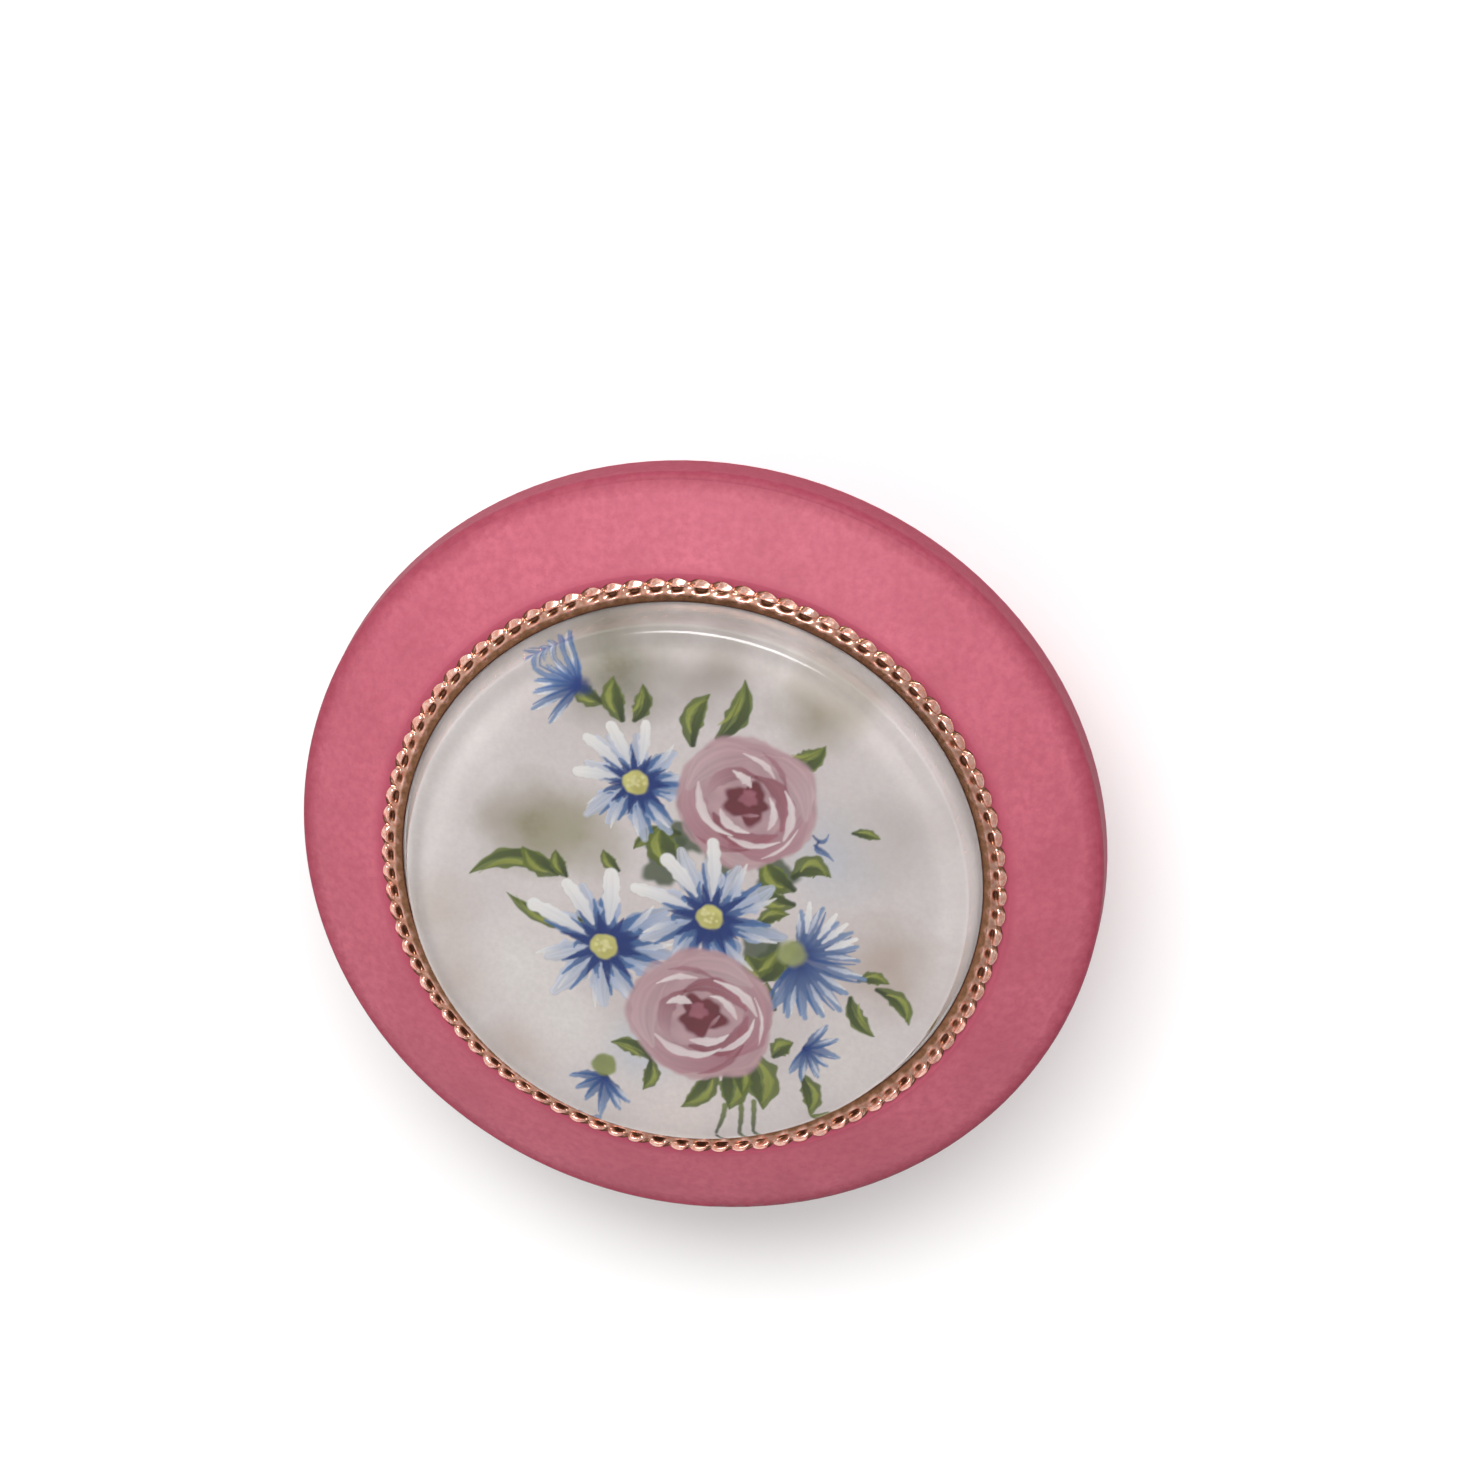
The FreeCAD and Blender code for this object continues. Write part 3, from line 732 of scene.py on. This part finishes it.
LEAVES = (          # base x, y, tip x, y in mm, bend, width
    (-7.6, 18.3, -10.2, 20.4, 0.12, 1.7), (-5.8, 16.6, -6.4, 21.0, 0.10, 1.9),
    (-4.6, 16.6, -3.6, 20.3, -0.12, 1.5), (0.9, 14.3, 2.8, 19.5, 0.14, 1.9),
    (3.4, 15.0, 6.2, 21.0, -0.12, 1.9), (9.9, 12.7, 13.7, 14.5, -0.16, 1.9),
    (-12.4, 0.4, -21.6, -0.1, -0.18, 1.8), (-12.9, 0.2, -16.2, 3.0, 0.10, 1.9),
    (-12.0, 0.0, -12.9, 2.8, 0.10, 1.3), (-6.8, 0.8, -8.2, 3.0, 0.10, 1.2),
    (-9.2, -4.4, -18.0, -2.0, 0.16, 1.5), (-0.6, 4.9, -5.2, 3.2, -0.16, 1.6),
    (-1.2, 1.4, -2.6, 5.8, 0.12, 2.6), (10.2, -0.6, 7.4, 2.6, 0.14, 2.2),
    (10.3, 0.9, 13.9, 0.9, 0.30, 2.0), (10.2, -2.2, 6.8, -0.6, 0.14, 1.8),
    (6.6, -4.4, 9.8, -3.2, 0.12, 1.3), (7.6, -10.2, 5.4, -7.8, 0.10, 2.2),
    (6.8, -10.4, 8.6, -7.0, -0.10, 2.2), (9.4, -8.6, 11.8, -6.4, 0.1, 2.0),
    (8.0, -13.6, 7.4, -10.6, 0.1, 1.5), (16.4, -10.0, 19.4, -10.4, 0.14, 1.2),
    (18.2, -11.0, 21.2, -14.8, 0.18, 1.5), (15.6, -12.0, 17.8, -16.2, -0.12, 1.5),
    (-4.6, -19.6, -8.4, -18.0, -0.12, 1.5), (-4.4, -19.8, -5.4, -23.2, 0.12, 1.4),
    (2.0, -20.6, -1.6, -25.0, 0.10, 1.9), (3.4, -20.2, 3.2, -25.0, 0.10, 2.5),
    (5.2, -18.4, 6.6, -24.8, 0.10, 3.0), (4.2, -19.4, 4.6, -23.4, 0.06, 1.6),
    (10.6, -20.8, 11.2, -25.2, 0.14, 1.7), (7.8, -18.8, 9.8, -17.2, 0.12, 1.7),
    (16.1, 5.6, 18.8, 5.0, 0.08, 0.9),
)
LEAF_FULLNESS = 1.18
STEMS = (           # x, y points in mm
    ((2.8, -24.6), (2.5, -26.0), (1.8, -27.6)),
    ((4.4, -24.4), (4.3, -26.4), (3.9, -28.2)),
    ((5.7, -24.0), (5.6, -26.2), (5.4, -28.0)),
)


def half_flower(canvas, rng, centre, angles, reach, width):
    """Flower seen from the side: a fan of blue petals from one point."""
    for angle in angles:
        length = reach * rng.uniform(0.8, 1.1)
        path = trail(centre, (0, 0), (length * 0.55, angle + rng.uniform(-6, 6)), (length, angle))
        tones = DEEP_BLUE, mixed(MID_BLUE, PALE_BLUE, 0.5)
        stroke(canvas, rng, path, width, tones, (0.6, 1.0, 0.3), 0.9, 0.15)
        path = trail(centre, (0, 0), (length * 0.6, angle - 8), (length * 0.95, angle - 4))
        stroke(canvas, rng, path, width * 0.35, (DEEP_BLUE, MID_BLUE), (0.8, 1.0, 0.3), 0.9, 0.1)
        if rng.uniform() < 0.7:
            path = trail(centre, (length * 0.45, angle + 5), (length * 0.95, angle + 3))
            stroke(canvas, rng, path, width * 0.38, (PALE_BLUE, WHITE), (0.3, 1.0, 0.2), 0.8)


CANVAS_R = 28.4         # the painted round of the picture, in mm
CANVAS_STEP = 0.11      # its grid


def bouquet():
    """Paints a generic bouquet: two roses, four asters, small blue flowers, buds, leaves and stems."""
    rng = np.random.default_rng(7)
    canvas = Canvas(CANVAS_R, CANVAS_STEP)
    for x, y in ((-1.8, 3.6), (0.4, 5.0), (8.6, 0.8), (8.2, -8.6), (6.8, -6.4), (-2.4, 1.2), (3.6, 2.2)):
        dab(canvas, rng, (x, y), 1.9, SHADE, 0.9, 0.35, 0.2)
    for points in STEMS:
        stroke(canvas, rng, points, 0.55, (OLIVE, DARK_GREEN), (1.0, 0.9, 0.5), 0.9)
    for bx, by, tx, ty, bend, width in LEAVES:
        leaf(canvas, rng, (bx, by), (tx, ty), bend, width * LEAF_FULLNESS)
    half_flower(canvas, rng, (-9.8, 19.9), (96, 112, 130, 146), 3.7, 0.8)
    half_flower(canvas, rng, (-9.8, 19.9), (158, 174, 190, 208, 232), 4.9, 0.85)
    dab(canvas, rng, (-9.5, 19.9), 0.9, DEEP_BLUE, 0.85, 0.5, 0.1)
    half_flower(canvas, rng, (-9.2, -22.0), (180, 205, 232, 262, 290, 310), 3.8, 1.1)
    half_flower(canvas, rng, (11.0, -17.8), (345, 318, 290, 262, 240, 20, 50), 3.4, 0.9)
    dab(canvas, rng, (-9.2, -20.6), 1.25, mixed(OLIVE, LIGHT_GREEN, 0.3), 0.9, 0.2, 0.06)
    for points in (((12.3, 5.2), (13.2, 4.6), (13.8, 5.4)), ((12.4, 4.2), (13.2, 3.6), (14.2, 2.6)),
                   ((12.8, 4.6), (12.6, 3.8), (13.4, 3.2))):
        stroke(canvas, rng, points, 0.5, (DEEP_BLUE, MID_BLUE), (0.4, 1.0, 0.2), 0.85)
    aster(canvas, rng, (-4.7, 10.2), 5.8, 11, 110, 62, 330, 8, 1.25)
    rose(canvas, rng, (6.0, 8.4), 6.9, 10)
    aster(canvas, rng, (-8.6, -7.4), 7.2, 10, 108, 42, 20, 3, 1.35)
    aster(canvas, rng, (2.0, -3.8), 7.2, 10, 130, 62, 285, 17, 1.3)
    half_flower(canvas, rng, (10.4, -8.2), (345, 325, 308, 292, 276, 260, 242), 6.4, 1.5)
    half_flower(canvas, rng, (10.8, -7.6), (88, 66, 45, 28, 12, 356), 5.8, 1.2)
    for angle in (76, 48, 34, 16):
        path = [polar((10.8, -7.6), 2.6, angle), polar((10.8, -7.6), 5.8, angle + 4)]
        stroke(canvas, rng, path, 0.75, (ICE, WHITE), (0.3, 1.0, 0.5), 0.95, 0.05)
    dab(canvas, rng, (9.9, -7.4), 1.4, CALYX, 0.9, 0.4, 0.06)
    rose(canvas, rng, (0.8, -14.6), 7.3, 60)
    return canvas


def painted_layer(material):
    """The bouquet as a thin skin of paint on the picture, only where there is paint."""
    canvas = bouquet()
    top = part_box("picture_disc")[1].z
    body = (canvas.cover > 0.02) & (np.hypot(canvas.x, canvas.y) < CANVAS_R)
    keep = body[:-1, :-1] | body[1:, :-1] | body[:-1, 1:] | body[1:, 1:]
    index = np.arange(canvas.x.size).reshape(canvas.x.shape)
    quads = np.stack([index[:-1, :-1], index[:-1, 1:], index[1:, 1:], index[1:, :-1]], -1)[keep]
    used, quads = np.unique(quads, return_inverse=True)
    quads = quads.reshape(-1, 4)
    relief = (0.02 + 0.03 * canvas.relief * canvas.cover).ravel()[used]
    points = np.stack([canvas.x.ravel()[used] * MM, canvas.y.ravel()[used] * MM, top + relief * MM], 1)
    piece = new_piece("painted_bouquet", points, quads.tolist(), material, "lid")
    paint = piece.data.attributes.new("paint", "FLOAT_COLOR", "POINT")
    rgba = np.concatenate([canvas.colour.reshape(-1, 3)[used], np.ones((len(used), 1))], 1)
    paint.data.foreach_set("color", rgba.astype(np.float32).ravel())
    cover = piece.data.attributes.new("cover", "FLOAT", "POINT")
    cover.data.foreach_set("value", canvas.cover.ravel()[used].astype(np.float32))


# ---------------------------------------------------------------- inside the jar

def plain_materials():
    """Materials that need no more than a mottle and a grain, by the nodes that wear them."""
    moulded = grained(0.008 * MM, 0.25 * MM, 2.0)
    ivory = finish_of("ivory plastic", {"Roughness": 0.36, "Subsurface Weight": 0.1,
                                        "Subsurface Scale": 0.5 * MM, "Subsurface Radius": (1.0, 0.8, 0.6)},
                      mottled((236, 226, 208), (243, 236, 222), 5 * MM, 3.0), moulded)
    pink = finish_of("pink plastic", {"Roughness": 0.34},
                     mottled((222, 142, 150), (230, 156, 162), 4 * MM, 3.0), moulded)
    foam = finish_of("foam", {"Roughness": 0.85},
                     mottled((226, 222, 216), (242, 240, 236), 0.3 * MM, 2.0),
                     grained(0.05 * MM, 0.3 * MM, 2.0))
    paper = finish_of("moire paper", {"Roughness": 0.6},
                      mottled((232, 214, 204), (245, 233, 226), 2.5 * MM, 4.0, 0.6, (0.35, 2.5, 1.0),
                              low=0.35),
                      grained(0.02 * MM, 0.2 * MM, 3.0))
    brass = finish_of("brass", {"Metallic": 1.0},
                      mottled((204, 164, 96), (226, 190, 124), 3 * MM, 3.0), None,
                      patchy(0.22, 0.4, 0.3 * MM, 2.0))
    card = finish_of("card", {"Roughness": 0.9},
                     mottled((176, 160, 136), (204, 190, 166), 0.4 * MM, 4.0, 0.7, (1.0, 4.0, 1.0)))
    return {ivory: ("powder_liner", "sifter_plate", "sifter_rivet"), pink: ("sifter_shutter",),
            foam: ("sifter_seal",), paper: ("lid_liner",), brass: ("medallion_tray", "medallion_rivet"),
            card: ("backing_card",)}


def face_powder():
    """Loose powder: fine grain and soft clods."""
    def colour(tree):
        grain = patchy(0.0, 0.3, 0.18 * MM, 3.0, 0.7)(tree)
        clod = mottled((226, 190, 168), (238, 208, 188), 2.2 * MM, 3.0)(tree)
        return blend(tree, grain, clod, srgb(208, 164, 142))

    return finish_of("face powder", {"Roughness": 0.95, "Specular IOR Level": 0.1}, colour,
                     grained(0.08 * MM, 0.2 * MM, 4.0, 0.7))


def felt():
    """Short wine-red felt."""
    return finish_of("felt", {"Roughness": 1.0, "Sheen Weight": 0.5, "Sheen Roughness": 0.5},
                     mottled((110, 38, 52), (150, 66, 82), 0.22 * MM, 4.0, 0.7, (1.0, 3.0, 1.0)),
                     grained(0.15 * MM, 0.25 * MM, 4.0, 0.7))


def velour():
    """Brushed velour: a short pile that lies in soft patches."""
    def colour(tree):
        base = mottled((236, 196, 194), (226, 176, 176), 6 * MM, 3.0, low=0.35)(tree)
        pile = patchy(0.0, 0.45, 0.2 * MM, 3.0, 0.7)(tree)
        return blend(tree, pile, base, srgb(206, 150, 152))

    values = {"Roughness": 0.95, "Specular IOR Level": 0.15, "Sheen Weight": 0.9, "Sheen Roughness": 0.35}
    return finish_of("velour", values, colour, grained(0.12 * MM, 0.22 * MM, 4.0, 0.75))


def satin(name, dark, light):
    """Woven satin: long floats along one way, crossed by fine picks."""
    def weave(tree):
        floats = noise(tree, 0.16 * MM, 2.0, 0.5, (0.12, 1.0, 1.0))
        picks = noise(tree, 0.16 * MM, 2.0, 0.5, (1.0, 0.12, 1.0))
        return calc(tree, "ADD", calc(tree, "MULTIPLY", floats, 0.7), calc(tree, "MULTIPLY", picks, 0.3))

    def colour(tree):
        return blend(tree, fit(tree, weave(tree), 0.35, 0.65), dark, light)

    def normal(tree):
        return bump(tree, weave(tree), 0.03 * MM)

    return finish_of(name, {"Roughness": 0.38, "Sheen Weight": 0.3, "Sheen Roughness": 0.3}, colour, normal)


CLODS = ((0.14, 5.0, 0.0), (0.10, 1.6, 3.0), (0.04, 0.6, 7.0))   # depth and size in mm, seed


def powder_bed():
    """Loose powder in its cup: heaped a little, with clods, and flat along its shore."""
    low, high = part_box("loose_powder")
    shore_r = high.x - 0.2 * MM
    foot_r = shore_r - 2.9 * MM
    shore_z = high.z - 0.3 * MM
    heap = 0.22 * MM

    def height(radius, turn):
        x, y, z = at(radius, turn, shore_z)
        share = radius / shore_r
        clods = sum(deep * lumps(x, y, size * MM, seed) for deep, size, seed in CLODS)
        return z - heap * share ** 2 + clods * MM * (1 - share ** 6)

    rings, count = 70, 240
    points, faces = polar_sheet([shore_r * k / rings for k in range(1, rings + 1)], count, height)
    close_below(points, faces, [at(foot_r, turn, low.z) for turn in even_turns(count)])
    new_piece("powder_bed", points, faces, face_powder(), "liner", ["loose_powder"])


def felt_foot():
    """Felt disc under the bowl, its cut edge a little ragged."""
    low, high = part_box("base_felt")
    count, rows = 240, 10
    points, faces = [], []
    for level, inset in ((low.z + 0.02 * MM, 0.10), (low.z + 0.2 * MM, 0.02), (high.z, 0.05)):
        for turn in even_turns(count):
            ragged = 0.05 + 0.05 * lumps(*at(20, turn, 1.0), level / MM * 3)
            points.append(at(high.x - (inset + ragged) * MM, turn, level))
    for ring in range(2):
        faces += wall(ring * count, (ring + 1) * count, count)
    under = [0]
    for row in range(1, rows):
        under.append(len(points))
        for turn in even_turns(count):
            x, y, z = at(high.x * (1 - row / rows), turn, low.z + 0.03 * MM)
            points.append((x, y, z + 0.03 * MM * lumps(x, y, 1.2 * MM)))
    for a, b in zip(under, under[1:]):
        faces += band(a, b, count)
    faces.append([under[-1] + i for i in reversed(range(count))])
    faces.append([2 * count + i for i in range(count)])
    piece = new_piece("felt_foot", points, faces, felt(), "bowl", ["base_felt"])


# ---------------------------------------------------------------- puff

SIM_SCALE = 10.0        # the cloth is simulated ten times larger, where its solver is steady
SIM_FRAMES = 20
SIM_PRESSURE = 4.0
SIM_REACH = 1.2 * MM    # the most that the simulation may move a point of the pad


def inflated(points, faces, held):
    """Blows a closed skin up by cloth simulation, holding some points, and returns its new points."""
    skin = mesh_object("skin", [[c * SIM_SCALE for c in p] for p in points], faces)
    skin.vertex_groups.new(name="held").add(held, 1.0, "REPLACE")
    cloth = skin.modifiers.new("cloth", "CLOTH")
    cloth.settings.vertex_group_mass = "held"
    cloth.settings.use_pressure = True
    cloth.settings.uniform_pressure_force = SIM_PRESSURE
    cloth.settings.tension_stiffness = 10
    cloth.settings.effector_weights.gravity = 0
    scene = bpy.context.scene
    for step in range(1, SIM_FRAMES + 1):
        scene.frame_set(step)
    shaped = skin.evaluated_get(bpy.context.evaluated_depsgraph_get())
    result = [v.co / SIM_SCALE for v in shaped.data.vertices]
    bpy.data.objects.remove(skin)
    scene.frame_set(1)
    return result


def puff_pad(material):
    """Velour pad: blown up by simulation inside its seam, flat where it lies, gathered towards the piping."""
    low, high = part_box("puff_pad")
    edge_r, base_z, top_z = high.x / MM, low.z / MM, high.z / MM
    profile = outline(
        (0.0, base_z + 0.5), ((edge_r - 4.2, base_z + 0.5), 26),
        ((edge_r - 1.0, base_z + 3.4), 8, 0.2), ((edge_r - 1.7, top_z - 0.6), 7, 0.12),
        ((0.0, top_z - 0.3), 14),
    )
    points, faces = revolve([(r * MM, z * MM) for r, z in profile], 144)
    held = [i for i, p in enumerate(points) if p[2] > high.z - 0.7 * MM]
    blown = inflated(points, faces, held)
    shaped = []
    for old, new in zip(points, blown):
        old = Vector(old)
        move = Vector(new) - old
        if move.length > SIM_REACH:
            move *= SIM_REACH / move.length
        place = old + move
        radius, turn = math.hypot(place.x, place.y), math.atan2(place.y, place.x)
        near_seam = max(0.0, 1 - (high.z - place.z) / (4.5 * MM)) if radius > 0.6 * high.x else 0.0
        gather = 0.22 * near_seam * (math.sin(34 * turn) + 0.6 * math.sin(55 * turn + 1.0)) * MM
        soft = 0.18 * lumps(place.x, place.y, 7 * MM, place.z / MM / 5) * MM
        reach = min(radius + gather + soft, high.x)
        scale = reach / radius if radius > 1e-6 else 1.0
        height = max(place.z + 0.5 * soft, low.z)
        shaped.append((place.x * scale, place.y * scale, min(height, high.z)))
    piece = new_piece("velour_pad", shaped, faces, material, "puff", ["puff_pad"])
    smoother = piece.modifiers.new("smoother", "SUBSURF")
    smoother.levels = smoother.render_levels = 1


def puff_back(material):
    """Satin back of the puff, gathered towards the piping."""
    low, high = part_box("puff_backing")
    edge_r = high.x + 0.3 * MM

    def height(radius, turn):
        share = radius / edge_r
        pleats = math.sin(46 * turn + 3 * share) + 0.7 * math.sin(71 * turn + 2.0)
        pleats += 0.5 * math.sin(29 * turn + 5 * share)
        x, y, z = at(radius, turn, high.z)
        return z - (0.16 - 0.07 * pleats * max(0.0, share - 0.45) + 0.09 * lumps(x, y, 8 * MM)) * MM

    rings, count = 48, 360
    points, faces = polar_sheet([edge_r * k / rings for k in range(1, rings + 1)], count, height)
    close_below(points, faces, [(x, y, low.z) for x, y, z in points[-count:]])
    new_piece("satin_back", points, faces, material, "puff", ["puff_backing"])


def puff_piping(material):
    """Satin-covered cord round the puff, with the slanting wrinkles of a bias strip."""
    low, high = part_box("puff_piping")
    cord_r = (high.z - low.z) / 2
    ring_r = high.x - cord_r
    around, across = 720, 16
    points, faces = [], []
    for i, turn in enumerate(even_turns(around)):
        for j, lean in enumerate(even_turns(across)):
            wrinkle = 0.045 * math.sin(120 * turn + 2 * lean) + 0.03 * math.sin(67 * turn - lean + 1.0)
            radius = cord_r * (0.93 + wrinkle)
            height = (low.z + high.z) / 2 + radius * math.sin(lean)
            points.append(at(ring_r + radius * math.cos(lean), turn, height))
            a, b, k = i * across, (i + 1) % around * across, (j + 1) % across
            faces.append((a + j, b + j, b + k, a + k))
    new_piece("satin_piping", points, faces, material, "puff", ["puff_piping"])


def puff_ribbon(material):
    """Ribbon sewn down at both ends and arched between them, with ribs across it and woven edges."""
    low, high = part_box("puff_ribbon")
    half_width, half_span = high.y, high.x
    thick = 0.34 * MM
    rise = high.z - low.z - 0.5 * MM
    along, across = 240, 40
    top, under = [], []
    for i in range(along + 1):
        x = half_span * (2 * i / along - 1)
        arch = rise * math.cos(math.pi / 2 * abs(x) / half_span) ** 1.2
        rib = MM * math.cos(2 * math.pi * i / 3)
        for j in range(across + 1):
            y = half_width * (2 * j / across - 1)
            edge = 0.05 * MM * hump(abs(y), half_width - 0.5 * MM, 0.35 * MM)
            wave = 0.10 * MM * lumps(x, y, 9 * MM, 4.0) * min(1.0, arch / (0.3 * MM))
            z = low.z + 0.04 * MM + arch + wave
            scallop = 0.06 * rib if abs(y) > half_width * 0.99 else 0.0
            y *= 1 + scallop / half_width
            top.append((x, y, z + thick + 0.03 * rib + edge))
            under.append((x, y, z))
    row, size = across + 1, len(top)
    cells = [i * row + j for i in range(along) for j in range(across)]
    faces = [(a, a + row, a + row + 1, a + 1) for a in cells]
    faces += [(size + a, size + a + 1, size + a + row + 1, size + a + row) for a in cells]
    edges = [(i * row, (i + 1) * row) for i in range(along)]
    edges += [((i + 1) * row + across, i * row + across) for i in range(along)]
    edges += [(j + 1, j) for j in range(across)]
    edges += [(along * row + j, along * row + j + 1) for j in range(across)]
    faces += [(a, size + a, size + b, b) for a, b in edges]
    piece = new_piece("ribbon_strap", top + under, faces, material, "puff", ["puff_ribbon"])


def ribbon_stitches(material):
    """Two rows of small stitches that hold each end of the ribbon."""
    low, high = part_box("puff_ribbon")
    thread_r = 0.11 * MM
    steps, sides = 6, 6
    points, faces = [], []
    rows = [end * (high.x - inset * MM) for end in (-1, 1) for inset in (1.2, 2.6)]
    for x, k in [(x, k) for x in rows for k in range(-4, 5)]:
        base = len(points)
        for i in range(steps + 1):
            share = i / steps
            y = k * 1.45 * MM + (share - 0.5) * 0.95 * MM
            z = low.z + 0.42 * MM + 0.10 * MM * math.sin(math.pi * share)
            for lean in even_turns(sides):
                points.append((x + thread_r * math.cos(lean), y, z + thread_r * math.sin(lean)))
        for i in range(steps):
            faces += wall(base + i * sides, base + (i + 1) * sides, sides)
        faces.append([base + j for j in reversed(range(sides))])
        faces.append([base + steps * sides + j for j in range(sides)])
    new_piece("ribbon_stitches", points, faces, material, "puff")


def insides():
    """Everything that shows when the jar is opened."""
    for material, nodes in plain_materials().items():
        for node in nodes:
            give(node, material)
    felt_foot()
    powder_bed()
    rose_satin = satin("rose satin", srgb(196, 108, 120), srgb(226, 146, 156))
    puff_pad(velour())
    puff_back(rose_satin)
    puff_piping(rose_satin)
    puff_ribbon(satin("ribbon satin", srgb(214, 140, 148), srgb(240, 182, 186)))
    ribbon_stitches(finish_of("thread", {"Base Color": (*srgb(240, 214, 212), 1), "Roughness": 0.7}))


# ---------------------------------------------------------------- stage

WINDOW = Vector((0.05, 0.49, 0.63))      # towards the light, and where its lamp hangs, in metres
LEFT_WALL = Vector((-0.8, -0.4, 0.5))    # towards a pale wall
LAMP_SIZE = (0.70, 0.29)                 # metres
LAMP_POWER = 9.8                         # watts
SOFT_EDGE = 0.3                          # share of the lamp over which it fades out on each side
TABLE_HALF = 6.0
CAMERA_TILT = math.radians(26.72)        # off the jar's axis
CAMERA_TURN = math.radians(20.83)        # round the axis, from +Y towards +X
CAMERA_ROLL = math.radians(-2.0)
CAMERA_DISTANCE = 0.340
CAMERA_LENS = 84.49                      # mm, on a sensor 36 mm wide
AIM = Vector((3.25 * MM, 12.28 * MM, RIM_Z))


def floor():
    """Pale table that the jar stands on."""
    half = TABLE_HALF
    table = mesh_object("table", [(-half, -half, 0), (half, -half, 0), (half, half, 0), (-half, half, 0)],
                        [(0, 1, 2, 3)])
    table.data.materials.append(finish_of("table", {"Base Color": (0.93, 0.93, 0.93, 1), "Roughness": 0.7,
                                                    "Specular IOR Level": 0.2}))


def sky():
    """White surround with a pale wall on the left, and the wide glow of a window high on the +Y side."""
    world = bpy.data.worlds.new("studio")
    bpy.context.scene.world = world
    world.use_nodes = True
    tree = world.node_tree
    background = tree.nodes["Background"]
    direction = add(tree, "TexCoord").outputs["Generated"]

    def towards(aim, *span):
        """Strength that grows as the view nears a direction."""
        near = vector_calc(tree, "DOT_PRODUCT", direction, aim.normalized())["Value"]
        return fit(tree, near, *span)

    light = towards(Vector((0, 0, 1)), 0.0, 0.8, 0.36, 0.38)
    for more in (towards(LEFT_WALL, 0.1, 0.9, 0.0, 0.40), towards(WINDOW, 0.80, 0.97, 0.0, 0.5),
                 towards(WINDOW, 0.94, 0.98, 0.0, 2.0)):
        light = calc(tree, "ADD", light, more)
    tree.links.new(light, background.inputs["Strength"])
    background.inputs["Color"].default_value = (1.0, 0.99, 0.98, 1)


def lamp():
    """Wide light at the window, aimed at the jar, that fades out towards its edges."""
    light = bpy.data.lights.new("window", "AREA")
    light.shape = "RECTANGLE"
    light.size, light.size_y = LAMP_SIZE
    light.energy = LAMP_POWER
    light.use_nodes = True
    tree = light.node_tree
    across = add(tree, "NewGeometry").outputs["Parametric"]
    split = add(tree, "SeparateXYZ", {0: across})
    glow = 1.0
    for axis in "XY":
        along = split.outputs[axis]
        for side in (along, calc(tree, "SUBTRACT", 1.0, along)):
            glow = calc(tree, "MULTIPLY", glow, fit(tree, side, 0.0, SOFT_EDGE))
    tree.links.new(glow, tree.nodes["Emission"].inputs["Strength"])
    holder = bpy.data.objects.new("window", light)
    bpy.context.scene.collection.objects.link(holder)
    holder.location = WINDOW
    holder.rotation_mode = "QUATERNION"
    holder.rotation_quaternion = (Vector((0, 0, RIM_Z)) - WINDOW).to_track_quat("-Z", "Y")


def camera():
    """Long lens a third of a metre away, 27 degrees off the jar's axis."""
    data = bpy.data.cameras.new("camera")
    data.lens = CAMERA_LENS
    data.sensor_width = 36.0
    data.clip_start = 0.01
    data.clip_end = 10.0
    eye = bpy.data.objects.new("camera", data)
    bpy.context.scene.collection.objects.link(eye)
    side = math.sin(CAMERA_TILT)
    towards = Vector((side * math.sin(CAMERA_TURN), side * math.cos(CAMERA_TURN), math.cos(CAMERA_TILT)))
    place = towards * CAMERA_DISTANCE + Vector((0, 0, RIM_Z))
    back = (place - AIM).normalized()
    right = Vector((0, 1, 0)).cross(back).normalized()
    up = back.cross(right)
    c, s = math.cos(CAMERA_ROLL), math.sin(CAMERA_ROLL)
    facing = Matrix((right * c + up * s, up * c - right * s, back)).transposed()
    eye.matrix_world = Matrix.Translation(place) @ facing.to_4x4()
    bpy.context.scene.camera = eye


def give(node, material):
    """Puts a material on a CAD node."""
    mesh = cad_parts[node].data
    mesh.materials.clear()
    mesh.materials.append(material)


def main():
    """The jar, its table and its light."""
    pink = frosted_pink()
    give("lid_shell", pink)
    give("bowl", pink)
    picture = picture_material()
    give("picture_disc", picture)
    painted_layer(picture)
    bezel_ring()
    crystal()
    insides()
    floor()
    sky()
    lamp()
    camera()
    bpy.context.scene.view_settings.view_transform = "Standard"


main()
